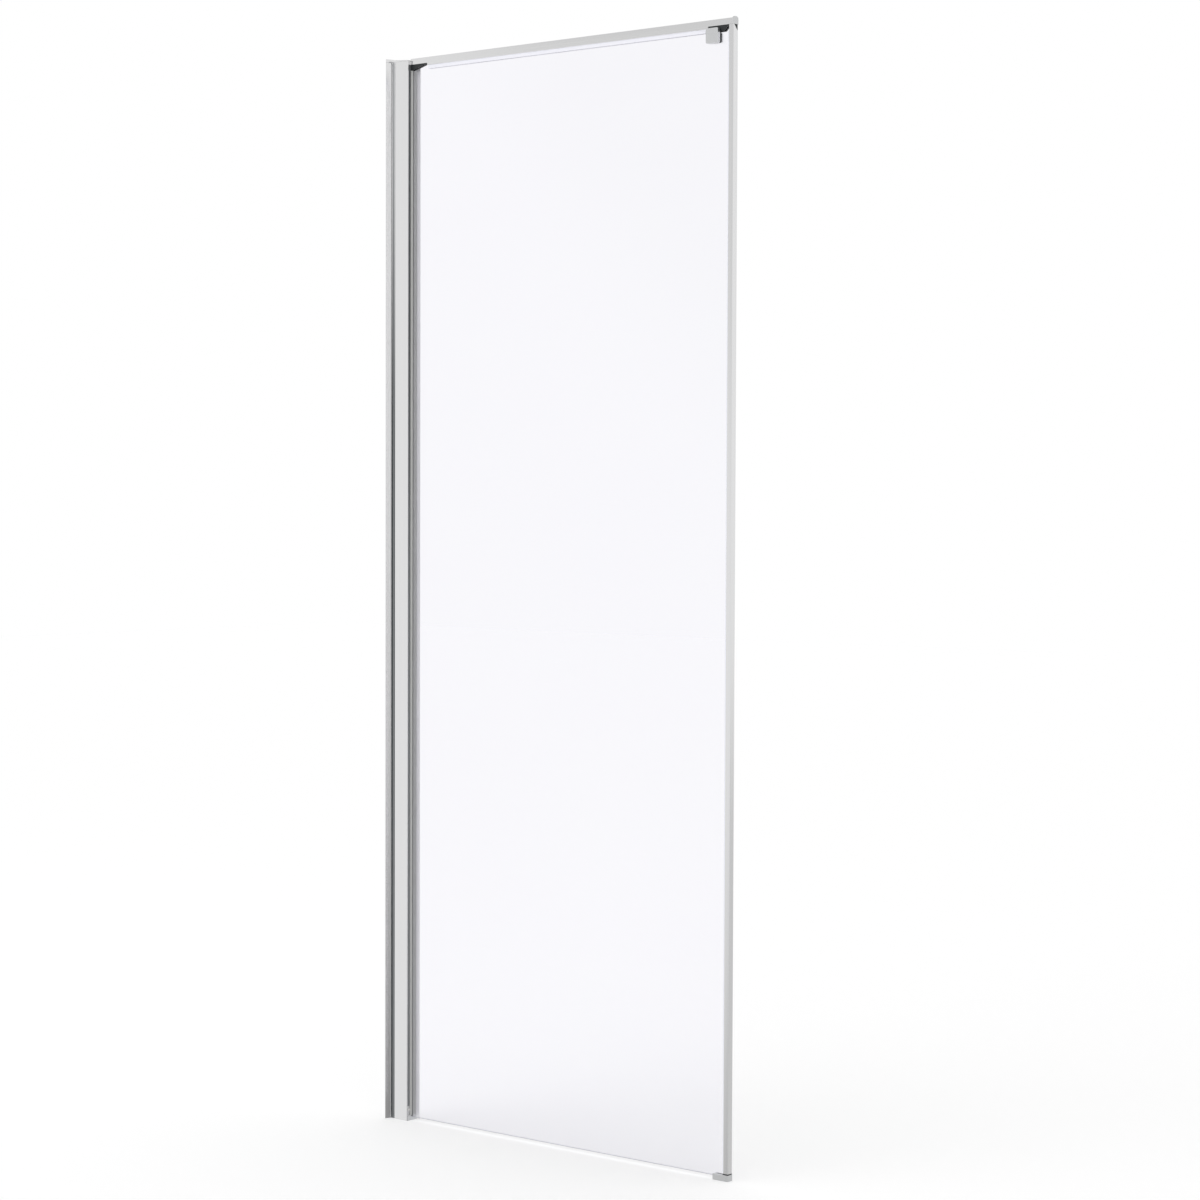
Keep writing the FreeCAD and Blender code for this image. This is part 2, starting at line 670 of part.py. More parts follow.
def clamp_front_pad():
    """The rubber block between the plate and the glass, under the saddle."""
    wide = (CLAMP_LEFT + PAD_INSET, CLAMP_RIGHT - PAD_INSET)
    pad = box(wide, (PLATE_BACK, -GLASS_HALF), (CLAMP_BOTTOM + PAD_INSET, SADDLE_BOTTOM))
    pad = rounded(pad, CLAMP_ROUND - PAD_INSET, lambda p: p.z < BOLT_Z, ACROSS)
    hole = rod(BOSS_RADIUS + FIT_GAP, V(BOLT_X, PLATE_BACK, BOLT_Z), ACROSS, CLAMP_PAD)
    return pad.cut(hole)


def clamp_bush():
    """The nylon sleeve in the hole in the glass."""
    start = V(BOLT_X, -GLASS_HALF, BOLT_Z)
    sleeve = rod(BUSH_RADIUS, start, ACROSS, GLASS_THICK)
    return sleeve.cut(rod(BOSS_RADIUS + FIT_GAP, start, ACROSS, GLASS_THICK))


def rear_block(inset, low, high):
    """A block behind the glass with round corners, drawn in by an inset and bored for the screw."""
    wide, tall = REAR_LENGTH / 2 - inset, REAR_HEIGHT / 2 - inset
    shape = box((BOLT_X - wide, BOLT_X + wide), (low, high), (BOLT_Z - tall, BOLT_Z + tall))
    shape = rounded(shape, CLAMP_ROUND - inset, lambda p: True, ACROSS)
    bore = rod(CLAMP_SCREW_RADIUS + FIT_GAP, V(BOLT_X, low, BOLT_Z), ACROSS, high - low)
    return shape.cut(bore)


def clamp_rear_pad():
    """The rubber pad behind the glass."""
    return rear_block(PAD_INSET, GLASS_HALF, GLASS_HALF + REAR_PAD_THICK)


def rear_face():
    """The shower-side face of the clamp's rear plate."""
    return GLASS_HALF + REAR_PAD_THICK + REAR_THICK


def clamp_rear_plate():
    """The metal plate behind the glass, countersunk for the screw."""
    face = rear_face()
    plate = rear_block(0, GLASS_HALF + REAR_PAD_THICK, face).cut(countersink(face))

    def rim(p):
        return same(p.y, face) and abs(p.x - BOLT_X) > CLAMP_HEAD_RADIUS

    return rounded(plate, CLAMP_EDGE_ROUND, rim)


def countersink(face):
    """The cone of the clamp's screw head, flush with the face given."""
    start = V(BOLT_X, face - CLAMP_HEAD_HEIGHT, BOLT_Z)
    return Part.makeCone(CLAMP_SCREW_RADIUS, CLAMP_HEAD_RADIUS, CLAMP_HEAD_HEIGHT, start, ACROSS)


def clamp_screw():
    """The countersunk screw from the shower side into the plate's boss."""
    face = rear_face()
    end = GLASS_HALF - BOSS_SHORT - CLAMP_THREAD + STOP_GAP
    shank = rod(CLAMP_SCREW_RADIUS, V(BOLT_X, end, BOLT_Z), ACROSS, face - end)
    recess = cross_recess(CLAMP_HEAD_RADIUS, 0)
    recess = placed(recess, V(BOLT_X, face, BOLT_Z), -ACROSS)
    return shank.fuse(countersink(face)).cut(recess).removeSplitter()


def edge_post():
    """The slim channel on the free edge of the glass."""
    outline = [
        (POST_LEFT, -POST_HALF),
        (PANEL_WIDTH, -POST_HALF),
        (PANEL_WIDTH, POST_HALF),
        (POST_LEFT, POST_HALF),
        (POST_LEFT, POST_INNER),
        (POST_FLOOR, POST_INNER),
        (POST_FLOOR, -POST_INNER),
        (POST_LEFT, -POST_INNER),
    ]
    post = upright(outline, POST_BOTTOM, NOTCH_TOP)
    radius = min(POST_ROUND, POST_WALL * ROUND_SHARE)
    post = rounded(post, radius, lambda p: same(p.x, PANEL_WIDTH), UP)
    return post.cut(along(post_plug_outline(0), POST_FLOOR, PANEL_WIDTH))


def post_plug_outline(gap):
    """The triangle that the post's top plug fills, drawn in by a gap on its sides."""
    left, right = -POST_INNER + 2 * gap, POST_INNER - gap
    return [(left, NOTCH_TOP), (right, NOTCH_TOP), (right, NOTCH_TOP - POST_PLUG_DROP + 2 * gap)]


def post_top_plug():
    """The black plug in the top of the post."""
    return along(post_plug_outline(FIT_GAP), GLASS_RIGHT + FIT_GAP, PANEL_WIDTH)


def post_gasket():
    """The clear gasket round the free edge of the glass, with a lip on each face."""
    tip = POST_LEFT - POST_GASKET_LIP
    half = [
        (tip, -GLASS_HALF),
        (tip, -GLASS_HALF - POST_LIP_THICK / 2),
        (POST_LEFT, -GLASS_HALF - POST_LIP_THICK),
        (POST_LEFT, -POST_INNER),
        (POST_FLOOR, -POST_INNER),
    ]
    outline = half + [(x, -y) for x, y in reversed(half)]
    outline += [(GLASS_RIGHT, GLASS_HALF), (GLASS_RIGHT, -GLASS_HALF)]
    return upright(outline, POST_BOTTOM, SADDLE_BOTTOM - FIT_GAP)


def foot_gasket():
    """The black rubber between the post and its foot, open for the glass."""
    wide = (-POST_HALF, POST_HALF)
    height = (FOOT_HEIGHT, POST_BOTTOM)
    pad = box((POST_LEFT - FOOT_MARGIN, PANEL_WIDTH), wide, height)
    slot = (-SLOT_HALF, SLOT_HALF)
    return pad.cut(box((FOOT_LEFT, GLASS_RIGHT + FIT_GAP), slot, height))


def post_foot():
    """The metal foot: a block with a slot for the glass and threads for two set screws."""
    foot = box((FOOT_LEFT, PANEL_WIDTH), (-FOOT_HALF, FOOT_HALF), (0, FOOT_HEIGHT))
    foot = rounded(foot, FOOT_ROUND, lambda p: same(p.z, FOOT_HEIGHT))
    slot = box((FOOT_LEFT, GLASS_RIGHT + FIT_GAP), (-SLOT_HALF, SLOT_HALF), (FOOT_FLOOR, FOOT_HEIGHT))
    foot = foot.cut(slot)
    for x in grub_places():
        foot = foot.cut(grub(x))
    return foot


def grub_places():
    """Two places either side of the middle of the foot."""
    middle = (FOOT_LEFT + GLASS_RIGHT) / 2
    return [middle - GRUB_SPACING / 2, middle + GRUB_SPACING / 2]


def grub(x):
    """A set screw from the shower side of the foot to the glass."""
    return rod(GRUB_RADIUS, V(x, GLASS_HALF, GRUB_Z), ACROSS, FOOT_HALF - GLASS_HALF)


def foot_grub_screws():
    """Both set screws, each with a round socket."""
    screws = []
    for x in grub_places():
        socket = rod(GRUB_SOCKET, V(x, FOOT_HALF, GRUB_Z), -ACROSS, GRUB_RADIUS)
        screws.append(grub(x).cut(socket))
    return Part.makeCompound(screws)


def foot_packer():
    """The nylon packer under the glass, in the foot's slot."""
    half = GLASS_HALF - FIT_GAP
    reach = (FOOT_LEFT + FOOT_MARGIN, GLASS_RIGHT - FOOT_MARGIN)
    return box(reach, (-half, half), (FOOT_FLOOR, GLASS_LIFT))


NODES = {
    "wall_channel": wall_channel(),
    "channel_top_cap": channel_top_cap(),
    "adjusting_screws": adjusting_screws(),
    "adjusting_profile": adjusting_profile(),
    "profile_top_cap": profile_top_cap(),
    "profile_foot_plug": profile_foot_plug(),
    "plug_screw": plug_screw(),
    "front_bulb_seal": front_bulb_seal(),
    "front_glazing_gasket": other_side(glazing_gasket(POCKET_OUTER - FIT_GAP, GASKET_LIP)),
    "rear_glazing_gasket": glazing_gasket(PROFILE_INNER - FIT_GAP, GASKET_REAR_LIP),
    "edge_packers": edge_packers(),
    "glass_pane": glass_pane(),
    "top_rail": top_rail(),
    "rail_seal_front": rail_seal_front(),
    "rail_seal_rear": other_side(rail_seal_front()),
    "rail_saddle_wall": rail_saddle_wall(),
    "rail_saddle_post": rail_saddle_post(),
    "rail_screws": rail_screws(),
    "rail_end_cap": rail_end_cap(),
    "clamp_front_plate": clamp_front_plate(),
    "clamp_front_pad": clamp_front_pad(),
    "clamp_bush": clamp_bush(),
    "clamp_rear_pad": clamp_rear_pad(),
    "clamp_rear_plate": clamp_rear_plate(),
    "clamp_screw": clamp_screw(),
    "edge_post": edge_post(),
    "post_gasket": post_gasket(),
    "post_top_plug": post_top_plug(),
    "foot_gasket": foot_gasket(),
    "post_foot": post_foot(),
    "foot_packer": foot_packer(),
    "foot_grub_screws": foot_grub_screws(),
}
for name, height in zip(("bottom", "middle", "top"), lock_heights()):
    NODES["screw_cover_" + name] = screw_cover(height)

os.makedirs("parts", exist_ok=True)
for name, shape in NODES.items():
    shape.exportStep("parts/" + name + ".step")
    state = "valid" if shape.isValid() else "BAD"
    print(name, len(shape.Solids), "solids", round(shape.Volume), "mm3", state)
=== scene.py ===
# %% [markdown]
# # A glass side panel for a shower
# The real object is a pane of toughened glass that stands beside a shower tray. Its left edge sits in
# an aluminium profile that slides on a wall channel, its top edge carries a slim rail, and its free
# edge has a thin post on a metal foot. The CAD model gives every size. This lesson models the pieces
# that show again in Blender, with the soft edges and finishes that catch the light.

# %% Load the CAD model
import math
import bpy
from mathutils import Matrix, Vector


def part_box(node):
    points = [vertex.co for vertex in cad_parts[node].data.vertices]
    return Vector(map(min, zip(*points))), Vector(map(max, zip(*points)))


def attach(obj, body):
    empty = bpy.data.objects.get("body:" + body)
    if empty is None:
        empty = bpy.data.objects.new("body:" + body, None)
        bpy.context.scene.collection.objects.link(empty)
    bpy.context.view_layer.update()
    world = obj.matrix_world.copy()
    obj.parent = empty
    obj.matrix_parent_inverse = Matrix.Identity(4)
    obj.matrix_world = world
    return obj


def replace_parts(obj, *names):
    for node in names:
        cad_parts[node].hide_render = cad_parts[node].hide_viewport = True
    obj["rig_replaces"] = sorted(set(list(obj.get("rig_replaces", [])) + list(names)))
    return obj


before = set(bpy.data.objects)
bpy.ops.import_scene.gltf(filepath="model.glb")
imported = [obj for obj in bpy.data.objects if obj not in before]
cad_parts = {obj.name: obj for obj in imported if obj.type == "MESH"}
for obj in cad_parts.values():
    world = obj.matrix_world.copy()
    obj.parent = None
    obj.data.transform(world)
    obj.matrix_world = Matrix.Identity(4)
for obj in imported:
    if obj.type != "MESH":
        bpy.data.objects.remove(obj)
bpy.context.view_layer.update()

MM = 0.001  # one millimetre, in Blender's metres

# %% [markdown]
# ## Sizes from the CAD model
# Every piece has to land where its CAD node is, because the joint and the mounts come from there.
# Sizes could be typed in by hand, but asking the node for its two corners keeps a piece right when a
# size changes. They are read in millimetres, as on a drawing.

# %% Read a CAD node
def span(node):
    """The two opposite corners of a CAD node, in millimetres."""
    low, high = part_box(node)
    return low / MM, high / MM


def middle(node):
    """The middle of a CAD node, in millimetres."""
    low, high = span(node)
    return (low + high) / 2


print("the pane spans", [[round(v, 1) for v in corner] for corner in span("glass_pane")])

# %% [markdown]
# ## Starting shapes
# Plates and mouldings start from a cube, and pins and holes from a cylinder. A primitive could be
# added anywhere and dragged, but giving it two end points leaves nothing to measure afterwards. Its
# place is then applied to the mesh, so that the object itself stays at the origin.

# %% Blocks and bars
def settle(name):
    """Name the new primitive and move its place into its mesh."""
    piece = bpy.context.object
    piece.name = piece.data.name = name
    bpy.ops.object.transform_apply(location=True, rotation=True, scale=True)
    return piece


def block(name, low, high):
    """A cube stretched between two corners."""
    bpy.ops.object.select_all(action="DESELECT")
    low, high = Vector(low) * MM, Vector(high) * MM
    bpy.ops.mesh.primitive_cube_add(size=1, location=(low + high) / 2)
    bpy.context.object.scale = high - low
    return settle(name)


def bar(name, radius, start, end, sides=40):
    """A cylinder between two points."""
    bpy.ops.object.select_all(action="DESELECT")
    start, end = Vector(start) * MM, Vector(end) * MM
    way = end - start
    bpy.ops.mesh.primitive_cylinder_add(
        vertices=sides,
        radius=radius * MM,
        depth=way.length,
        location=(start + end) / 2,
        rotation=way.to_track_quat("Z", "Y").to_euler(),
    )
    return settle(name)


print("a piece starts as a block or a bar")

# %% [markdown]
# ## Drawn sections
# A profile is drawn metal: one section, pulled along its length. It could be built from many boxes,
# but walking round the section with vertex extrudes and then pulling the filled face is what the
# extrusion press does, so every wall meets its neighbour in one clean mesh.

# %% Trace a section
def trace(name, corners, low, high, lying=False):
    """Walk round a section corner by corner, fill it, and pull it from low to high."""

    def point(a, b, run):
        return Vector((run, a, b) if lying else (a, b, run)) * MM

    points = [point(a, b, low) for a, b in corners]
    bpy.ops.object.select_all(action="DESELECT")
    bpy.ops.mesh.primitive_plane_add(size=MM, location=points[0])
    piece = settle(name)
    bpy.ops.object.mode_set(mode="EDIT")
    bpy.ops.mesh.select_mode(type="VERT")
    bpy.ops.mesh.select_all(action="SELECT")
    bpy.ops.mesh.merge(type="CENTER")  # the plane becomes the first corner
    for here, there in zip(points, points[1:]):
        bpy.ops.mesh.extrude_vertices_move(TRANSFORM_OT_translate={"value": there - here})
    bpy.ops.mesh.select_all(action="SELECT")
    bpy.ops.mesh.edge_face_add()
    pull = point(0, 0, high - low)
    bpy.ops.mesh.extrude_region_move(TRANSFORM_OT_translate={"value": pull})
    bpy.ops.mesh.select_all(action="SELECT")
    bpy.ops.mesh.normals_make_consistent(inside=False)
    bpy.ops.object.mode_set(mode="OBJECT")
    return piece


def mirrored(half):
    """A half section, followed by its mirror image in the plane of the glass."""
    return half + [(a, -b) for a, b in reversed(half)]


print("or as a section, traced and pulled")

# %% [markdown]
# ## Round edges
# A real edge is never perfectly sharp: drawn metal has a small radius and moulded nylon a larger one,
# and that radius is what draws the bright line along an edge. Main corners are bevelled by choosing
# their edges in code, and a Bevel modifier then eases whatever is still sharp.

# %% Bevel and ease
EASE, EASE_THIN, EASE_LARGE, EASE_ROUND = 0.2, 0.15, 0.3, 0.4  # radius of an edge, in millimetres
EASE_ANGLE = math.radians(30)
RIM_STEPS, CORNER_STEPS, END_STEPS = 4, 8, 12  # facets of a rim, a round corner, a half-round end
SAME = 0.01  # two lengths that differ by less, in millimetres, are the same


def near(a, b):
    """True where two lengths are the same."""
    return abs(a - b) < SAME


def anywhere(p):
    """True at every point."""
    return True


def only(piece):
    """Select one piece and nothing else."""
    bpy.ops.object.select_all(action="DESELECT")
    piece.select_set(True)
    bpy.context.view_layer.objects.active = piece


def bevel(piece, radius, steps, wanted, way=None):
    """Round the edges whose two ends pass the test, along one axis if it is named."""
    only(piece)
    bpy.ops.object.mode_set(mode="EDIT")
    bpy.ops.mesh.select_mode(type="EDGE")
    bpy.ops.mesh.select_all(action="DESELECT")
    bpy.ops.object.mode_set(mode="OBJECT")
    points = [v.co / MM for v in piece.data.vertices]
    for edge in piece.data.edges:
        a, b = (points[i] for i in edge.vertices)
        run = b - a
        along = way is None or near(run.length, abs(run["XYZ".index(way)]))
        edge.select = along and bool(wanted(a) and wanted(b))
    bpy.ops.object.mode_set(mode="EDIT")
    bpy.ops.mesh.bevel(offset=radius * MM, segments=steps, affect="EDGES")
    bpy.ops.object.mode_set(mode="OBJECT")


def apply(piece, step):
    """Apply a modifier to its piece."""
    only(piece)
    bpy.ops.object.modifier_apply(modifier=step.name)


def ease(piece, radius=EASE, steps=2):
    """Round whatever edge is still sharp."""
    step = piece.modifiers.new("eased edges", "BEVEL")
    step.width, step.segments = radius * MM, steps
    step.limit_method, step.angle_limit = "ANGLE", EASE_ANGLE
    apply(piece, step)


print("edges are eased by", EASE_THIN, "to", EASE_ROUND, "mm")

# %% [markdown]
# ## Cutting and joining
# Holes and slots are cut with the Boolean modifier, because the drill and the mill do the same to the
# real profile. A cutter reaches a little past the face that it cuts, and a block that is joined to
# another reaches a little into it, so that no two faces lie in one plane. A saw cut is one bisect.

# %% Carve and saw
PAST, BITE = 1.0, 0.5  # reach past a face that is cut and into a block that is joined, in millimetres


def carve(piece, other, how="DIFFERENCE"):
    """Cut a piece with another, or join the two, and drop the second."""
    step = piece.modifiers.new(how.lower(), "BOOLEAN")
    step.operation, step.object, step.solver = how, other, "EXACT"
    apply(piece, step)
    bpy.data.objects.remove(other)


def saw(piece, point, normal):
    """Cut a piece along a plane, drop the side that the normal points to, and close the cut."""
    only(piece)
    bpy.ops.object.mode_set(mode="EDIT")
    bpy.ops.mesh.select_all(action="SELECT")
    bpy.ops.mesh.bisect(
        plane_co=Vector(point) * MM,
        plane_no=Vector(normal).normalized(),
        use_fill=True,
        clear_outer=True,
        threshold=1e-6,
    )
    bpy.ops.object.mode_set(mode="OBJECT")


print("cutters reach", PAST, "mm past a face")

# %% [markdown]
# ## Handing a piece over
# A shaped piece still needs its shading, a finish, the body that it moves with and the CAD nodes that
# it stands for. Faces that the polisher or the grinder treats differently, and faces that get painted
# shade, get a second finish, which is chosen by the place of each face.

# %% Fit and refinish
def fit(piece, finish, body, slot, *nodes):
    """Give a piece its shading, its finish, the body it rides on and the nodes it stands for."""
    only(piece)
    bpy.ops.object.shade_smooth_by_angle(angle=EASE_ANGLE)
    step = piece.modifiers.new("even shading", "WEIGHTED_NORMAL")
    step.keep_sharp = True
    apply(piece, step)
    piece.data.materials.clear()
    piece.data.materials.append(finish)
    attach(piece, body)
    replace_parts(piece, *nodes)
    print(piece.name, len(piece.data.polygons), "faces for", ", ".join(nodes))


def refinish(piece, finish, wanted):
    """Give the faces whose middle, in millimetres, passes the test a finish of their own."""
    piece.data.materials.append(finish)
    chosen = [face for face in piece.data.polygons if wanted(face.center / MM)]
    for face in chosen:
        face.material_index = len(piece.data.materials) - 1
    print(finish.name, "on", len(chosen), "faces of", piece.name)


print(len(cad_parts), "CAD nodes wait for a piece or a finish")

# %% [markdown]
# ## Finishes
# Each finish is a small node tree. Colours are written as sRGB hex, the way a paint chart gives them,
# and one function turns them into the linear values that Blender mixes. Patterns read Object
# coordinates, and every pattern size is a real size in millimetres.

# %% Start a finish
def colour(text):
    """An sRGB hex colour as linear values."""
    parts = [int(text[i : i + 2], 16) / 255 for i in (1, 3, 5)]
    return [p / 12.92 if p < 0.04045 else ((p + 0.055) / 1.055) ** 2.4 for p in parts] + [1.0]


def put(tree, kind, feeds, **settings):
    """Add a node, set its choices, and feed its sockets with values or with other sockets."""
    node = tree.nodes.new(kind)
    for key, value in settings.items():
        setattr(node, key, value)
    for key, value in feeds.items():
        if isinstance(value, bpy.types.NodeSocket):
            tree.links.new(value, node.inputs[key])
        else:
            node.inputs[key].default_value = value
    return node


def start_finish(name, **sockets):
    """A new material: its tree, its shader with plain sockets set, and the place of each point."""
    made = bpy.data.materials.new(name)
    made.use_nodes = True
    tree = made.node_tree
    shader = tree.nodes["Principled BSDF"]
    for key, value in sockets.items():
        shader.inputs[key.replace("_", " ")].default_value = value
    place = put(tree, "ShaderNodeTexCoord", {}).outputs["Object"]
    return made, tree, shader, place


print("middle grey is", round(colour("#808080")[0], 3), "in linear light")

# %% [markdown]
# ### Grain and fade
# No surface is quite even. A noise varies the tone, the roughness and the height of each finish a
# little, stretched to the size of the real grain. A few finishes also change along the height of the
# panel as painted light: the grooves and the land beside them are painted lighter near the top, and a
# seal is painted lighter low down, as painted reflections.

# %% Grain and fade
NOISE = {"Scale": 1.0, "Detail": 3.0, "Roughness": 0.6}  # the mapping sets its size
NOISE_LOW, NOISE_HIGH = 0.3, 0.7  # nearly all of the noise lies between these values
BUMP_STRENGTH = 0.3


def grain(tree, shader, place, tones, roughness, sizes, depth):
    """Vary a finish with noise: two tones, a range of roughness, and a bump of the given depth."""
    scale = [1 / (size * MM) for size in sizes]
    turned = put(tree, "ShaderNodeMapping", {"Vector": place, "Scale": scale}).outputs["Vector"]
    value = put(tree, "ShaderNodeTexNoise", {"Vector": turned, **NOISE}).outputs["Fac"]
    dark, light = (colour(tone) for tone in tones)
    mixed = put(tree, "ShaderNodeMixRGB", {"Fac": value, "Color1": dark, "Color2": light})
    tree.links.new(mixed.outputs["Color"], shader.inputs["Base Color"])
    feeds = {"Value": value, "From Min": NOISE_LOW, "From Max": NOISE_HIGH}
    feeds.update({"To Min": roughness[0], "To Max": roughness[1]})
    rough = put(tree, "ShaderNodeMapRange", feeds)
    tree.links.new(rough.outputs["Result"], shader.inputs["Roughness"])
    feeds = {"Height": value, "Strength": BUMP_STRENGTH, "Distance": depth * MM}
    bump = put(tree, "ShaderNodeBump", feeds)
    tree.links.new(bump.outputs["Normal"], shader.inputs["Normal"])


def fade_up(tree, shader, place, start, end, tone):
    """Let the colour turn into another tone between two heights, in millimetres: painted light."""
    height = put(tree, "ShaderNodeSeparateXYZ", {"Vector": place}).outputs["Z"]
    feeds = {"Value": height, "From Min": start * MM, "From Max": end * MM}
    part = put(tree, "ShaderNodeMapRange", feeds, interpolation_type="SMOOTHSTEP").outputs["Result"]
    base = shader.inputs["Base Color"]
    feeds = {"Fac": part, "Color1": base.links[0].from_socket, "Color2": colour(tone)}
    tree.links.new(put(tree, "ShaderNodeMixRGB", feeds).outputs["Color"], base)


print("a finish is a shader with grain, and with a fade where it needs one")

# %% [markdown]
# ### Polished aluminium
# The profiles are drawn aluminium, polished and clear anodised. The press leaves faint lines along
# the length, so the noise is stretched: short across, long along. The uprights and the rail run in
# different directions, so the finish is made once for each direction. The polishing wheel only
# brushes past the fin, which stays satin. The grooves and the narrow land beside the profile get a
# dark finish, painted shade, which turns lighter near the top as a painted reflection.

# %% Polished, anodised aluminium
DIE_LINE = 3.0  # real die lines are about 0.3 mm apart; drawn ten times coarser so that they show
DIE_RUN, DIE_DEPTH = 400.0, 0.005
UPRIGHT, LYING = (DIE_LINE, DIE_LINE, DIE_RUN), (DIE_RUN, DIE_LINE, DIE_LINE)


def drawn_aluminium(name, sizes, tones, roughness, fade=None):
    """Metal with faint lines along its length: the lower its roughness, the clearer a mirror it is."""
    made, tree, shader, place = start_finish(name, Metallic=1.0)
    grain(tree, shader, place, tones, roughness, sizes, DIE_DEPTH)
    if fade:
        fade_up(tree, shader, place, *fade)
    print("made", name)
    return made


BRIGHT = ("#E1E1E2", "#E7E7E7")
POLISHED, MATT = (0.1, 0.16), (0.45, 0.55)  # ranges of roughness
# The grooves and the land are painted dark as shade, and turn lighter towards the top as a painted
# reflection.
GROOVE_PAINTED_REFLECTION = (1250.0, 1850.0, "#D8D9DA")  # from one height to another, and the tone above
LAND_PAINTED_REFLECTION = (1600.0, 2000.0, "#A6A8AA")
upright_aluminium = drawn_aluminium("bright_aluminium_upright", UPRIGHT, BRIGHT, POLISHED)
rail_aluminium = drawn_aluminium("bright_aluminium_rail", LYING, BRIGHT, POLISHED)
satin_aluminium = drawn_aluminium("satin_aluminium", UPRIGHT, ("#F2F2F2", "#F6F6F6"), MATT)
# Painted shade in the grooves, turning lighter near the top as a painted reflection.
groove_painted_shade = drawn_aluminium(
    "painted_groove_shade", UPRIGHT, ("#4A4E50", "#585C5E"), MATT, GROOVE_PAINTED_REFLECTION
)
# Painted shade on the land beside the profile, turning lighter near the top as a painted reflection.
land_painted_shade = drawn_aluminium(
    "painted_land_shade", UPRIGHT, ("#6C7072", "#787C7E"), MATT, LAND_PAINTED_REFLECTION
)

# %% [markdown]
# ### Satin chrome and stainless steel
# The clamp and the foot are zinc castings with satin chrome: metal, but with a wide soft highlight.
# The screws are turned stainless steel, a little warmer and shinier. Both have a fine grain that is
# far smaller than a pixel, so it is drawn at a millimetre or half of one.

# %% Satin chrome and stainless steel
satin_chrome, tree, shader, place = start_finish("satin_chrome_on_zinc", Metallic=1.0)
tones, fine_grain = ("#D6D7D8", "#DEDFE0"), (1.0, 1.0, 1.0)
grain(tree, shader, place, tones, roughness=(0.24, 0.34), sizes=fine_grain, depth=0.02)
stainless, tree, shader, place = start_finish("turned_stainless_steel", Metallic=1.0)
tones, turned_grain = ("#E0DFDD", "#EAEAE8"), (0.5, 0.5, 0.5)
grain(tree, shader, place, tones, roughness=(0.16, 0.26), sizes=turned_grain, depth=0.01)
print("made", satin_chrome.name, "and", stainless.name)

# %% [markdown]
# ### Toughened glass
# The pane is clear float glass, toughened and lightly tinted by its thickness. It needs full
# transmission and the refraction of glass. Toughening leaves a very weak wave from the rollers, a hand
# or two long, so the bump is broad and tiny: it bends reflections without being seen itself. The ground
# edges are matt and pale, because the wheel leaves them frosted.

# %% Toughened glass
ROLLER_WAVE, GLASS_IOR = 260.0, 1.52
toughened_glass, tree, shader, place = start_finish(
    "toughened_glass", Transmission_Weight=1.0, IOR=GLASS_IOR
)
tones, wave = ("#F8F7FC", "#FAFAFD"), (3 * ROLLER_WAVE, 3 * ROLLER_WAVE, ROLLER_WAVE)
grain(tree, shader, place, tones, roughness=(0.0, 0.02), sizes=wave, depth=0.02)
ground_edge, tree, shader, place = start_finish("ground_glass_edge", IOR=GLASS_IOR)
tones = ("#F0F0F9", "#F8F8FE")
grain(tree, shader, place, tones, roughness=(0.5, 0.6), sizes=fine_grain, depth=0.02)
print("made", toughened_glass.name, "and", ground_edge.name)

# %% [markdown]
# ### Soft PVC
# The seals on the rail and the post are soft translucent PVC. A strip this thick scatters the light
# that enters it, so the eye sees a milky white with a faint lilac tint and a low gloss. A pale
# plastic shows that better than a clear one, through which the dark inside of the rail would show.

# %% Milky soft PVC
soft_pvc, tree, shader, place = start_finish("milky_soft_pvc", IOR=1.53)
tones, cloud = ("#F3F3FC", "#F8F8FE"), (40.0, 40.0, 40.0)
grain(tree, shader, place, tones, roughness=(0.3, 0.4), sizes=cloud, depth=0.01)
print("made", soft_pvc.name)

# %% [markdown]
# ### Rubber and nylon
# Gaskets are matt rubber, black or grey. The long seal by the glass is black, but is painted a
# lighter grey, most of all low down, as a painted reflection. Saddles, caps and plugs are moulded nylon
# with a fine spark-eroded grain. They differ only in colour, gloss and grain size, so one loop makes
# all five.

# %% Rubber and moulded nylon
MOULDINGS = {  # two tones, range of roughness, grain size and depth in millimetres
    "black_epdm_rubber": (("#222426", "#2E3032"), (0.55, 0.75), 1.5, 0.03),
    # Grey for a black seal, and lighter low down: a painted reflection.
    "dusty_epdm_rubber": (("#7C7F81", "#888B8D"), (0.55, 0.75), 1.5, 0.03),
    "grey_tpe_rubber": (("#B5B6B4", "#BFC0BE"), (0.5, 0.7), 1.5, 0.03),
    "black_moulded_nylon": (("#191D1F", "#23282A"), (0.4, 0.55), 0.8, 0.03),
    "grey_moulded_nylon": (("#C6C7C8", "#D2D3D4"), (0.38, 0.52), 0.8, 0.03),
}
# The seal turns darker upwards, so it is lighter low down: a painted reflection.
REFLECTION_FADES = {"dusty_epdm_rubber": (800.0, 1500.0, "#585B5D")}
mouldings = {}
for name, (tones, roughness, size, depth) in MOULDINGS.items():
    mouldings[name], tree, shader, place = start_finish(name, IOR=1.5)
    grain(tree, shader, place, tones, roughness, (size,) * 3, depth)
    if name in REFLECTION_FADES:
        fade_up(tree, shader, place, *REFLECTION_FADES[name])
black_rubber, rubber_painted_reflection, grey_rubber, black_nylon, grey_nylon = mouldings.values()
print("made", ", ".join(mouldings))

# %% [markdown]
# ## Wall channel
# The channel is screwed to the wall. Slanted flanges lie on the wall, and two side walls with fine
# grooves stand out from it and guide the profile. The section is traced round once. The two grooves
# on each side come from a short loop, because a groove is the same three corners each time.

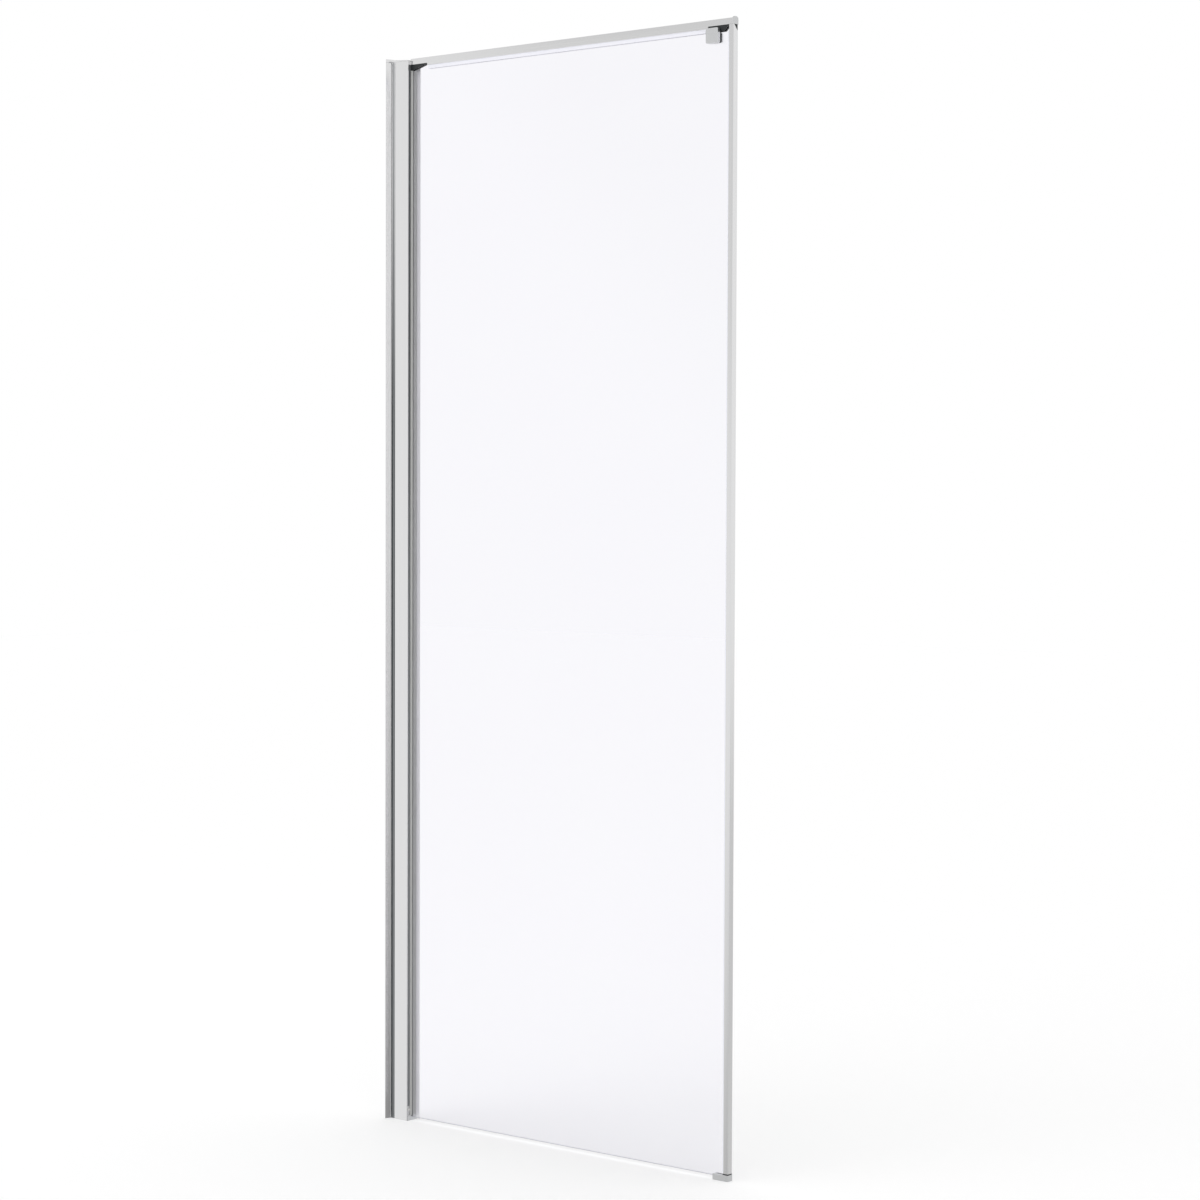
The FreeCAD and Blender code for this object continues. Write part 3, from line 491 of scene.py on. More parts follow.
# %% Section of the wall channel
low, high = span("wall_channel")
FLANGE_EDGE, FLANGE_ROOT, CHANNEL_WEB, CHANNEL_WALL, CHANNEL_HALF = 0.8, 5.0, 2.5, 2.0, 12.15
GROOVE_PITCH, GROOVE_WIDE, GROOVE_DEEP = 5.5, 3.0, 1.3
half = [(low.x, low.y), (FLANGE_EDGE, low.y)]
for left in (FLANGE_ROOT, FLANGE_ROOT + GROOVE_PITCH):
    half += [
        (left, -CHANNEL_HALF),
        (left + GROOVE_WIDE / 2, GROOVE_DEEP - CHANNEL_HALF),
        (left + GROOVE_WIDE, -CHANNEL_HALF),
    ]
half += [
    (high.x, -CHANNEL_HALF),
    (high.x, CHANNEL_WALL - CHANNEL_HALF),
    (CHANNEL_WEB, CHANNEL_WALL - CHANNEL_HALF),
]
channel = trace("channel_extrusion", mirrored(half), low.z, high.z)
ease(channel)
print("traced", channel.name, "from", len(mirrored(half)), "corners")

# %% [markdown]
# ### Holes of the channel
# Four holes in the web take the wall screws, and three small ones in the wall on the shower side take
# the locking screws. A drill goes right through, so a bar longer than the metal is thick is taken
# away for each. The grooves and the land between them then get their dark finishes of painted shade.

# %% Holes and finish of the wall channel
HOLE_RADIUS, HOLE_LOW, HOLE_STEP, HOLES = 2.75, 150.0, 1700 / 3, 4
for i in range(HOLES):
    z = HOLE_LOW + i * HOLE_STEP
    carve(channel, bar("wall hole", HOLE_RADIUS, (-PAST, 0, z), (CHANNEL_WEB + PAST, 0, z)))
LOCK_X, LOCK_RADIUS = middle("adjusting_screws").x, 1.75
LOCK_Z = [middle("screw_cover_" + level).z for level in ("bottom", "middle", "top")]
start, end = CHANNEL_HALF - CHANNEL_WALL - PAST, CHANNEL_HALF + PAST
for z in LOCK_Z:
    carve(channel, bar("lock hole", LOCK_RADIUS, (LOCK_X, start, z), (LOCK_X, end, z), sides=24))
fit(channel, upright_aluminium, "wall", "bright_aluminium", "wall_channel")
land_start, land_end = FLANGE_ROOT + GROOVE_WIDE, FLANGE_ROOT + GROOVE_PITCH
groove_floor, groove_rim = CHANNEL_HALF - GROOVE_DEEP, CHANNEL_HALF - EASE / 2


def in_groove(p):
    """True on the slanted faces of the grooves."""
    return p.x < land_end + GROOVE_WIDE and groove_floor < abs(p.y) < groove_rim


def on_land(p):
    """True on the narrow land between two grooves."""
    return land_start < p.x < land_end and near(abs(p.y), CHANNEL_HALF)


# The grooves and the land get their painted shade.
refinish(channel, groove_painted_shade, in_groove)
refinish(channel, land_painted_shade, on_land)

# %% [markdown]
# ## Cap on the channel
# A metal cap closes the top of the channel: a plate over the flanges and a plug between the side
# walls. The plate is traced, since it follows the flange, and a block for the plug is joined to it.

# %% Cap on the channel
FIT = 0.15  # clearance round a piece that is pushed in, in millimetres
cap_low, cap_high = span("channel_top_cap")
plug_half = CHANNEL_HALF - CHANNEL_WALL - FIT
half = [(low.x, low.y), (FLANGE_EDGE, low.y), (FLANGE_ROOT, -CHANNEL_HALF)]
channel_cap = trace("channel_cap", mirrored(half), high.z, cap_high.z)
plug = block("cap plug", (CHANNEL_WEB, -plug_half, cap_low.z), (cap_high.x, plug_half, high.z))
carve(channel_cap, plug, "UNION")
ease(channel_cap, EASE_LARGE)
fit(channel_cap, upright_aluminium, "wall", "bright_aluminium", "channel_top_cap")

# %% [markdown]
# ## Adjusting profile
# This profile slips over the channel and slides on it to set the width. It holds the glass in a deep
# pocket, has a recess for a rubber seal on the dry side and a fin along the glass on the shower side.
# Twenty-three corners make the section, and its front corner gets a full radius.

# %% Section of the adjusting profile
low, high = span("adjusting_profile")
PROFILE_WALL, PROFILE_HALF, PROFILE_ROUND, POCKET_HALF, SEAL_RECESS = 1.5, 14.0, 1.0, 5.5, 1.7
PROFILE_RIGHT, POCKET_FLOOR = span("top_rail")[0].x, span("edge_packers")[0].x
inner, outer = PROFILE_HALF - PROFILE_WALL, POCKET_HALF + PROFILE_WALL
seat, lip = PROFILE_RIGHT - SEAL_RECESS, PROFILE_RIGHT - SEAL_RECESS - PROFILE_WALL
back, rear_wall = POCKET_FLOOR - PROFILE_WALL, PROFILE_RIGHT - PROFILE_WALL
fin_tip = [(high.x, high.y - PROFILE_WALL), (high.x, high.y)]
fin = [(PROFILE_RIGHT, inner), *fin_tip, (PROFILE_RIGHT, PROFILE_HALF)]
section = [
    (low.x, -PROFILE_HALF),
    (PROFILE_RIGHT, -PROFILE_HALF),
    (PROFILE_RIGHT, -inner),
    (seat, -inner),
    (seat, -outer),
    (PROFILE_RIGHT, -outer),
    (PROFILE_RIGHT, -POCKET_HALF),
    (POCKET_FLOOR, -POCKET_HALF),
    (POCKET_FLOOR, POCKET_HALF),
    (PROFILE_RIGHT, POCKET_HALF),
    *fin,
    (low.x, PROFILE_HALF),
    (low.x, inner),
    (rear_wall, inner),
    (rear_wall, outer),
    (back, outer),
    (back, -outer),
    (lip, -outer),
    (lip, -inner),
    (low.x, -inner),
]
profile = trace("profile_extrusion", section, low.z, high.z)


def front_corner(p):
    """True on the profile's front corner at the glass."""
    return near(p.x, PROFILE_RIGHT) and near(p.y, -PROFILE_HALF)


bevel(profile, PROFILE_ROUND, RIM_STEPS, front_corner, "Z")
ease(profile)
print("traced", profile.name, "from", len(section), "corners")

# %% [markdown]
# ### Slots of the profile
# Three slots let the profile slide past the locking screws. A slot is the path of a round cutter, so
# it is a block with half-round ends, taken from the wall on the shower side. The fin gets the satin
# finish that the polishing wheel leaves on it.

# %% Slots and finish of the adjusting profile
SLOT_X, SLOT_RUN, SLOT_RADIUS = middle("screw_cover_bottom").x, 10.0, 2.15
NEARLY = 0.999  # keeps two round corners from meeting in one point
reach = SLOT_RUN + SLOT_RADIUS
for z in LOCK_Z:
    slot_low = (SLOT_X - reach, inner - PAST, z - SLOT_RADIUS)
    slot_high = (SLOT_X + reach, PROFILE_HALF + PAST, z + SLOT_RADIUS)
    slot = block("slot", slot_low, slot_high)
    bevel(slot, SLOT_RADIUS * NEARLY, CORNER_STEPS, anywhere, "Y")
    carve(profile, slot)
fit(profile, upright_aluminium, "panel", "bright_aluminium", "adjusting_profile")
refinish(profile, satin_aluminium, lambda p: p.x > PROFILE_RIGHT + EASE)

# %% [markdown]
# ## Cap of the profile
# A cover of the same metal closes the top of the profile, with a boss round the glass. It slopes down
# towards the glass, so it is traced like the profile, sawn along its slope, and joined to a block
# with a gap for the pane.

# %% Cap of the profile
cap_low, cap_high = span("profile_top_cap")
CAP_FALL = 3.2  # slope of the cover, over its length
plate = [(low.x, -PROFILE_HALF), (PROFILE_RIGHT, -PROFILE_HALF), *fin, (low.x, PROFILE_HALF)]
profile_cap = trace("profile_cap", plate, high.z, cap_high.z)
bevel(profile_cap, PROFILE_ROUND, RIM_STEPS, front_corner, "Z")
saw(profile_cap, (low.x, 0, cap_high.z), (CAP_FALL, 0, high.x - low.x))
ease(profile_cap, EASE_LARGE)
boss_half = POCKET_HALF - FIT
GAP_HALF = 3.15  # half of the gap that takes the pane
GLASS_LEFT = span("glass_pane")[0].x
boss_low = (POCKET_FLOOR + FIT, -boss_half, cap_low.z)
boss_high = (PROFILE_RIGHT - FIT, boss_half, high.z + BITE)
boss = block("cap boss", boss_low, boss_high)
gap_low = (GLASS_LEFT - FIT, -GAP_HALF, cap_low.z - PAST)
gap_high = (PROFILE_RIGHT + PAST, GAP_HALF, high.z)
carve(boss, block("glass gap", gap_low, gap_high))
carve(profile_cap, boss, "UNION")
fit(profile_cap, upright_aluminium, "panel", "bright_aluminium", "profile_top_cap")

# %% [markdown]
# ## Plug at the foot of the profile
# A nylon plug carries the corner of the glass and shows as a pale flange with a screwed ear. It is
# built as a moulder would cut it: three blocks joined together, and a slot for the glass taken away.

# %% Plug at the foot of the profile
low, high = span("profile_foot_plug")
PLUG_HEIGHT = 10.0
GLASS_LIFT = span("glass_pane")[0].z
core_high = (PROFILE_RIGHT + BITE, boss_half, PLUG_HEIGHT)
foot_plug = block("foot_plug", (POCKET_FLOOR, -boss_half, 0), core_high)
flange = block("plug flange", (PROFILE_RIGHT, low.y, 0), (high.x, high.y, PLUG_HEIGHT))
ear = block("plug ear", (seat, low.y, 0), (PROFILE_RIGHT, -outer - FIT, high.z))
carve(foot_plug, flange, "UNION")
carve(foot_plug, ear, "UNION")
slot_low = (POCKET_FLOOR - PAST, -GAP_HALF, GLASS_LIFT)
slot_high = (high.x + PAST, GAP_HALF, PLUG_HEIGHT + PAST)
carve(foot_plug, block("plug slot", slot_low, slot_high))
ease(foot_plug)
fit(foot_plug, grey_nylon, "panel", "grey_nylon", "profile_foot_plug")

# %% [markdown]
# ## Seal in the profile
# A black seal with a round nose fills the recess on the dry side and draws the dark line beside the
# glass. Its nose is part of a circle, so the corners of its section come from a sine.

# %% Seal in the profile
low, high = span("front_bulb_seal")
NOSE_STEPS = 10
nose = []
for i in range(NOSE_STEPS + 1):
    part = i / NOSE_STEPS
    bulge = (high.x - PROFILE_RIGHT) * math.sin(math.pi * part)
    nose.append((PROFILE_RIGHT + bulge, low.y + part * (high.y - low.y)))
bulb_seal = trace("bulb_seal", [(low.x, low.y), *nose, (low.x, high.y)], low.z, high.z)
# Its finish is painted lighter than black, most of all low down, as a painted reflection.
fit(bulb_seal, rubber_painted_reflection, "panel", "black_rubber", "front_bulb_seal")

# %% [markdown]
# ## Wedges round the glass
# Grey wedges on both faces hold the pane in its pocket, with a flap over the end of the metal. They
# are mirror images, so one section is traced for each face, with its sign turned.

# %% Wedges round the glass
GLASS_HALF, LIP_THICK, FLAP_THICK = 3.0, 0.8, 1.2
flap = PROFILE_RIGHT + FLAP_THICK
for name, side in (("front_glazing_gasket", -1), ("rear_glazing_gasket", 1)):
    low, high = span(name)
    edge = max(high.y, -low.y)
    wedge = [
        (low.x, POCKET_HALF),
        (PROFILE_RIGHT, POCKET_HALF),
        (PROFILE_RIGHT, edge),
        (flap, edge),
        (flap, POCKET_HALF),
        (high.x, GLASS_HALF + LIP_THICK),
        (high.x, GLASS_HALF),
        (low.x, GLASS_HALF),
    ]
    outline = [(x, side * y) for x, y in wedge]
    gasket = trace(name.replace("glazing_gasket", "wedge"), outline, low.z, high.z)
    ease(gasket)
    fit(gasket, grey_rubber, "panel", "grey_rubber", name)

# %% [markdown]
# ## Glass pane
# The pane is cut, its edges are ground to a small flat, one hole is drilled for the clamp, and only
# then is it toughened. The order is the same here: a block, a one-step bevel on every edge, and a hole.

# %% Glass pane
low, high = span("glass_pane")
ARRIS = 0.5
BOLT_X, _, BOLT_Z = middle("clamp_bush")
GLASS_HOLE = span("clamp_bush")[1].x - BOLT_X + FIT
pane = block("pane", low, high)
ease(pane, ARRIS, steps=1)
start, end = (BOLT_X, -GLASS_HALF - PAST, BOLT_Z), (BOLT_X, GLASS_HALF + PAST, BOLT_Z)
carve(pane, bar("glass hole", GLASS_HOLE, start, end, sides=64))
fit(pane, toughened_glass, "panel", "clear_glass", "glass_pane")


def on_edge(p):
    """True on the ground edges of the pane."""
    across, along = low.x + ARRIS < p.x < high.x - ARRIS, low.z + ARRIS < p.z < high.z - ARRIS
    return not (across and along)


refinish(pane, ground_edge, on_edge)

# %% [markdown]
# ## Screw covers
# Inside the shower, three small covers hide the slots and the locking screws. Each is a hollow shell
# with round ends. One is modelled from a block whose four upright corners are rounded until they meet,
# hollowed with a smaller copy of that shape, and then duplicated for the other two heights.

# %% First screw cover
low, high = span("screw_cover_bottom")
COVER_WALL, COVER_ROOF, COVER_ROUND = 1.1, 1.2, 0.7


def round_ended(name, low, high):
    """A block with half-round ends, lying along the panel."""
    made = block(name, low, high)
    bevel(made, (high[2] - low[2]) / 2 * NEARLY, END_STEPS, anywhere, "Y")
    return made


cover = round_ended("screw_shell_bottom", low, high)
bevel(cover, COVER_ROUND, RIM_STEPS, lambda p: near(p.y, high.y))
inside = Vector((COVER_WALL, 0, COVER_WALL))
hollow_low, hollow_high = low + inside, high - inside
hollow_low.y, hollow_high.y = low.y - PAST, high.y - COVER_ROOF
carve(cover, round_ended("cover hollow", hollow_low, hollow_high))
fit(cover, grey_nylon, "panel", "grey_nylon", "screw_cover_bottom")

# %% [markdown]
# ### Its two copies
# What repeats is modelled once. Duplicating the finished cover keeps its body and finish, and
# each copy gets a mesh of its own, which is then raised in edit mode to its own CAD node.

# %% Copies of the screw cover
for level in ("middle", "top"):
    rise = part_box("screw_cover_" + level)[0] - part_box("screw_cover_bottom")[0]
    only(cover)
    bpy.ops.object.duplicate(linked=False)
    bpy.ops.object.mode_set(mode="EDIT")
    bpy.ops.mesh.select_all(action="SELECT")
    bpy.ops.transform.translate(value=rise)
    bpy.ops.object.mode_set(mode="OBJECT")
    copy = bpy.context.object
    copy.name = copy.data.name = "screw_shell_" + level
    del copy["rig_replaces"]
    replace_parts(copy, "screw_cover_" + level)
    print(copy.name, "raised by", [round(v / MM) for v in rise])

# %% [markdown]
# ## Top rail
# The rail sits over the top edge of the glass. It is an upside-down channel whose flanges are cut away
# at both ends to show black nylon saddles. The section is traced lying down and pulled along X, its
# two top corners are rounded, and two blocks notch the ends.

# %% Top rail
low, high = span("top_rail")
RAIL_WALL, RAIL_ROOF, RAIL_ROUND = 1.4, 2.0, 0.9
FLANGE_BOTTOM, RAIL_RIGHT, RAIL_CEILING = low.z, high.x, high.z - RAIL_ROOF
RAIL_INNER = high.y - RAIL_WALL
NOTCH_TOP = span("edge_post")[1].z
SADDLE_END, CLAMP_LEFT = span("rail_saddle_wall")[1].x, span("clamp_front_plate")[0].x
section = [
    (low.y, low.z),
    (low.y, high.z),
    (high.y, high.z),
    (high.y, low.z),
    (RAIL_INNER, low.z),
    (RAIL_INNER, RAIL_CEILING),
    (-RAIL_INNER, RAIL_CEILING),
    (-RAIL_INNER, low.z),
]
rail = trace("rail_extrusion", section, low.x, high.x, lying=True)
bevel(rail, RAIL_ROUND, RIM_STEPS, lambda p: near(abs(p.y), high.y), "X")
ease(rail)
for left, right in ((low.x - PAST, SADDLE_END + FIT), (CLAMP_LEFT - FIT, high.x + PAST)):
    notch_low, notch_high = (left, low.y - PAST, low.z - PAST), (right, high.y + PAST, NOTCH_TOP)
    carve(rail, block("notch", notch_low, notch_high))
fit(rail, rail_aluminium, "panel", "bright_aluminium", "top_rail")

# %% [markdown]
# ## Seals under the rail
# Soft seals grip the glass along the rail and end in a thin drip edge. They are extruded like the
# metal, so each is traced lying down, once for each face of the glass.

# %% Seals under the rail
SEAL_TIP = 0.6
tip = GLASS_HALF + SEAL_TIP
for name, side in (("rail_seal_front", -1), ("rail_seal_rear", 1)):
    low, high = span(name)
    thick = max(high.y, -low.y)
    drip = [
        (side * GLASS_HALF, high.z),
        (side * thick, high.z),
        (side * thick, FLANGE_BOTTOM),
        (side * tip, low.z),
        (side * GLASS_HALF, low.z),
    ]
    seal = trace(name.replace("rail_seal", "drip_seal"), drip, low.x, high.x, lying=True)
    ease(seal, EASE_THIN)
    fit(seal, soft_pvc, "panel", "clear_pvc", name)

# %% [markdown]
# ## Saddles
# At each end of the rail a black nylon saddle sits over the glass and is held by the rail. Its end is
# slanted, long at the wall and short at the post. The saddle is traced as a section and the slant is
# made with one bisect, which is how a saw would cut it.

# %% Saddles
SADDLE_HALF = 6.0
SADDLE_SLANTS = {"rail_saddle_wall": 38.0, "rail_saddle_post": 12.0}  # length of the slant
GLASS_TOP = span("glass_pane")[1].z
waist = RAIL_INNER - FIT
for name, slant in SADDLE_SLANTS.items():
    low, high = span(name)
    half = [
        (-GAP_HALF, GLASS_TOP + FIT),
        (-GAP_HALF, low.z),
        (-SADDLE_HALF, low.z),
        (-SADDLE_HALF, NOTCH_TOP),
        (-waist, NOTCH_TOP),
        (-waist, high.z),
    ]
    outline = half + [(-y, z) for y, z in reversed(half)]
    saddle = trace(name.replace("rail_saddle", "saddle"), outline, low.x, high.x, lying=True)
    saw(saddle, (high.x, 0, NOTCH_TOP), (NOTCH_TOP - low.z, 0, -slant))
    ease(saddle, EASE_LARGE)
    fit(saddle, black_nylon, "panel", "black_nylon", name)

# %% [markdown]
# ## End cap of the rail
# A pale cap closes the free end of the rail. Its shoulders are round and it stands a little proud of
# the metal. A tongue on its back reaches into the rail.

# %% End cap of the rail
low, high = span("rail_end_cap")
SHOULDER = 5.0
end_cap = block("end_cap", (RAIL_RIGHT, low.y, low.z), high)


def on_shoulder(p):
    """True on the two upper corners of the cap."""
    return near(p.z, high.z) and near(abs(p.y), high.y)


bevel(end_cap, SHOULDER, CORNER_STEPS, on_shoulder, "X")
ease(end_cap, EASE_ROUND, steps=3)
tongue_low = (low.x, -waist, GLASS_TOP + FIT)
tongue_high = (RAIL_RIGHT + BITE, waist, RAIL_CEILING - FIT)
carve(end_cap, block("tongue", tongue_low, tongue_high), "UNION")
fit(end_cap, grey_nylon, "panel", "grey_nylon", "rail_end_cap")

# %% [markdown]
# ## Glass clamp
# A square plate with round corners clamps the glass near its free edge. A boss on the plate reaches
# through the hole to a screw from the shower side. The plate is a block: first its four corners are
# rounded, then the rim of its front face, and a bar is joined on as the boss.

# %% Plate of the glass clamp
low, high = span("clamp_front_plate")
CLAMP_ROUND, CLAMP_RIM, BOSS_RADIUS = 3.0, 0.8, 4.2
PLATE_BACK = span("clamp_front_pad")[0].y
plate = block("clamp_plate", low, (high.x, PLATE_BACK, high.z))
bevel(plate, CLAMP_ROUND, CORNER_STEPS, anywhere, "Y")
bevel(plate, CLAMP_RIM, RIM_STEPS, lambda p: near(p.y, low.y))
start, end = (BOLT_X, PLATE_BACK - BITE, BOLT_Z), (BOLT_X, high.y, BOLT_Z)
carve(plate, bar("clamp boss", BOSS_RADIUS, start, end), "UNION")
fit(plate, satin_chrome, "panel", "satin_chrome", "clamp_front_plate")

# %% [markdown]
# ### Pad of the clamp
# A rubber block lies between plate and glass, so that metal never touches the pane. It is a little
# smaller than the plate, with the same round corners below, and the boss passes through it.

# %% Pad of the glass clamp
low, high = span("clamp_front_pad")
PAD_INSET = low.x - CLAMP_LEFT
pad = block("clamp_pad", low, high)
bevel(pad, CLAMP_ROUND - PAD_INSET, CORNER_STEPS, lambda p: p.z < BOLT_Z, "Y")
start, end = (BOLT_X, low.y - PAST, BOLT_Z), (BOLT_X, high.y + PAST, BOLT_Z)
carve(pad, bar("pad hole", BOSS_RADIUS + FIT, start, end))
fit(pad, black_rubber, "panel", "black_rubber", "clamp_front_pad")

# %% [markdown]
# ## Edge post
# The free edge of the glass sits in a slim channel. The post is traced and pulled like the other
# profiles, and a triangle is cut from its top, where a black plug shows.

# %% Edge post
low, high = span("edge_post")
POST_WALL, POST_WEB, POST_ROUND, PLUG_DROP = 1.3, 1.5, 0.6, 10.5
post_inner, post_floor = high.y - POST_WALL, high.x - POST_WEB
half = [(low.x, -post_inner), (low.x, low.y), (high.x, low.y)]
pocket = [(post_floor, post_inner), (post_floor, -post_inner)]
post = trace("post_extrusion", mirrored(half) + pocket, low.z, high.z)
bevel(post, POST_ROUND, RIM_STEPS, lambda p: near(p.x, high.x), "Z")
ease(post)
corner = [(-post_inner, high.z), (post_inner, high.z), (post_inner, high.z - PLUG_DROP)]
carve(post, trace("post corner", corner, post_floor - FIT, high.x + PAST, lying=True))
fit(post, upright_aluminium, "panel", "bright_aluminium", "edge_post")

# %% [markdown]
# ### Gasket of the post
# A soft gasket wraps the edge of the glass inside the post, and its lips show beside the metal. It is
# the same on both faces, so half of the section is written down and mirrored.

# %% Gasket of the post
low, high = span("post_gasket")
POST_LEFT, GLASS_RIGHT, LIP = span("edge_post")[0].x, span("glass_pane")[1].x, 0.9
half = [
    (low.x, -GLASS_HALF),
    (low.x, -GLASS_HALF - LIP / 2),
    (POST_LEFT, -GLASS_HALF - LIP),
    (POST_LEFT, low.y),
    (high.x, low.y),
]
glass_edge = [(GLASS_RIGHT, GLASS_HALF), (GLASS_RIGHT, -GLASS_HALF)]
gasket = trace("post_edge_gasket", mirrored(half) + glass_edge, low.z, high.z)
ease(gasket, EASE_THIN)
fit(gasket, soft_pvc, "panel", "clear_pvc", "post_gasket")

# %% [markdown]
# ## Foot
# The post stands on a cast metal foot with a slot for the glass. It is a block whose upper rim is
# rounded and whose other edges are eased, as on any casting. The slot and two threaded holes for its
# set screws are then cut from it.

# %% Foot
low, high = span("post_foot")
FOOT_ROUND, FOOT_FLOOR = 0.8, 3.0
grub_low, grub_high = span("foot_grub_screws")
GRUB_RADIUS, GRUB_Z = (grub_high.z - grub_low.z) / 2, middle("foot_grub_screws").z
slot_end = GLASS_RIGHT + FIT
foot = block("cast_foot", low, high)
bevel(foot, FOOT_ROUND, RIM_STEPS, lambda p: near(p.z, high.z))
ease(foot)
slot_low, slot_high = (low.x - PAST, -GAP_HALF, FOOT_FLOOR), (slot_end, GAP_HALF, high.z + PAST)
carve(foot, block("foot slot", slot_low, slot_high))
for x in (grub_low.x + GRUB_RADIUS, grub_high.x - GRUB_RADIUS):
    carve(foot, bar("grub hole", GRUB_RADIUS, (x, 0, GRUB_Z), (x, high.y + PAST, GRUB_Z)))
fit(foot, satin_chrome, "panel", "satin_chrome", "post_foot")

# %% [markdown]
# ### Rubber under the post
# A thin sheet of black rubber lies between post and foot and draws the dark line at the base of the
# post. It is a block with the same slot as the foot.

# %% Rubber under the post
low, high = span("foot_gasket")
sheet = block("foot_rubber", low, high)
slot_low = (low.x - PAST, -GAP_HALF, low.z - PAST)
slot_high = (slot_end, GAP_HALF, high.z + PAST)
carve(sheet, block("rubber slot", slot_low, slot_high))
ease(sheet)
fit(sheet, black_rubber, "panel", "black_rubber", "foot_gasket")

# %% [markdown]
# ## Pieces that stay as CAD
# Screws, packers, the bush and the small plugs already have their true shape in the CAD model. They
# only need a finish, which goes into their material slots.

# %% Finishes for the CAD pieces
CAD_FINISHES = {
    "adjusting_screws": stainless,
    "plug_screw": stainless,
    "rail_screws": stainless,
    "clamp_screw": stainless,
    "foot_grub_screws": stainless,
    "clamp_rear_plate": satin_chrome,
    "clamp_rear_pad": black_rubber,
    "clamp_bush": grey_nylon,
    "edge_packers": grey_nylon,
    "foot_packer": grey_nylon,
    "post_top_plug": black_nylon,
}
for node, finish in CAD_FINISHES.items():
    for material_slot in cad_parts[node].material_slots:
        material_slot.material = finish
print("dressed", len(CAD_FINISHES), "CAD nodes")

# %% [markdown]
# ## What the metal mirrors
# Polished metal has hardly a colour of its own: it shows what stands around it. A plain white world
# would make it look like paper. A picture of a studio could be wrapped round the scene, but four soft
# grey areas are enough, each with a direction in plan and a lean with height. One is a screen beyond
# the free edge, one lies behind the glass, and two stand in front of it, one above the other. Below
# them, the light floor of the studio takes over.

# %% What the metal mirrors
STUDIO_WHITE = 0.95
GREY_AREAS = (  # direction in plan, weight of the height, where it starts and ends, how dark it gets
    ((0.99, -0.134, 0), -0.80, 0.98, 1.19, 0.27),
    ((0.71, 0.71, 0), -1.0, 1.05, 1.11, 0.74),
    ((-0.45, -0.89, 0), 0.15, 0.98, 0.995, 0.8),
    ((-0.45, -0.89, 0), -0.15, 0.996, 1.03, 0.4),
)
FLOOR_STARTS, FLOOR_FULL = -0.35, -0.6  # how steeply a ray falls where the light floor takes over
world = bpy.data.worlds.new("white studio")
bpy.context.scene.world = world
world.use_nodes = True
tree = world.node_tree
tree.nodes.clear()
way = put(tree, "ShaderNodeTexCoord", {}).outputs["Generated"]
height = put(tree, "ShaderNodeSeparateXYZ", {"Vector": way}).outputs["Z"]
level = put(tree, "ShaderNodeVectorMath", {0: way, 1: (1, 1, 0)}, operation="MULTIPLY")
level = put(tree, "ShaderNodeVectorMath", {0: level.outputs["Vector"]}, operation="NORMALIZE")
seen = STUDIO_WHITE
for heading, lean, start, end, dark in GREY_AREAS:
    feeds = {0: level.outputs["Vector"], 1: heading}
    aim = put(tree, "ShaderNodeVectorMath", feeds, operation="DOT_PRODUCT")
    lower = put(tree, "ShaderNodeMath", {0: height, 1: lean}, operation="MULTIPLY")
    feeds = {0: aim.outputs["Value"], 1: lower.outputs["Value"]}
    total = put(tree, "ShaderNodeMath", feeds, operation="ADD")
    feeds = {"Value": total.outputs["Value"], "From Min": start, "From Max": end}
    feeds.update({"To Min": 1.0, "To Max": dark})
    shade = put(tree, "ShaderNodeMapRange", feeds, interpolation_type="SMOOTHSTEP")
    feeds = {0: shade.outputs["Result"], 1: seen}
    seen = put(tree, "ShaderNodeMath", feeds, operation="MULTIPLY").outputs["Value"]
feeds = {"Value": height, "From Min": FLOOR_FULL, "From Max": FLOOR_STARTS}
feeds.update({"To Min": 1.0, "To Max": 0.0})
steep = put(tree, "ShaderNodeMapRange", feeds, interpolation_type="SMOOTHSTEP")
light_floor = (STUDIO_WHITE, STUDIO_WHITE, STUDIO_WHITE, 1)
feeds = {"Fac": steep.outputs["Result"], "Color1": seen, "Color2": light_floor}
seen = put(tree, "ShaderNodeMixRGB", feeds).outputs["Color"]
print("metal mirrors", len(GREY_AREAS), "grey areas and a light floor")

# %% [markdown]
# ## World
# The photograph was taken against white, in soft light. The world gives the camera, and any ray that
# passes through glass, plain white. Rays that left a metal get the studio made above, and all other
# rays an even soft light. Light Path tells them apart.

# %% World
SOFT_LIGHT = 0.85
WHITE = colour("#FFFFFF")
path = put(tree, "ShaderNodeLightPath", {}).outputs
FIRST_MIRROR = 0.5  # a ray that has met one mirror counts 1, and a fresh one 0
feeds = {0: path["Glossy Depth"], 1: FIRST_MIRROR}
bounced = put(tree, "ShaderNodeMath", feeds, operation="GREATER_THAN")
feeds = {"Fac": bounced.outputs["Value"], "Color1": WHITE, "Color2": seen}
mirror = put(tree, "ShaderNodeMixRGB", feeds)
feeds = {0: path["Is Camera Ray"], 1: path["Is Transmission Ray"]}
clear = put(tree, "ShaderNodeMath", feeds, operation="MAXIMUM")
feeds = {0: clear.outputs["Value"], 1: path["Is Glossy Ray"]}
shown = put(tree, "ShaderNodeMath", feeds, operation="MAXIMUM")
soft = put(tree, "ShaderNodeBackground", {"Color": WHITE, "Strength": SOFT_LIGHT})
backdrop = put(tree, "ShaderNodeBackground", {"Color": mirror.outputs["Color"], "Strength": 1.0})
feeds = {0: shown.outputs["Value"], 1: soft.outputs[0], 2: backdrop.outputs[0]}
mix = put(tree, "ShaderNodeMixShader", feeds)
put(tree, "ShaderNodeOutputWorld", {"Surface": mix.outputs[0]})
print("world has", len(tree.nodes), "nodes")

# %% [markdown]
# ## Floor
# A plain sheet of white paper keeps the shadow of the panel. Paper alone looks grey under this soft
# light, so it glows a little until it meets the white of the world, and the two join without a line.
# Mirrors skip it, because the world already shows them a floor.

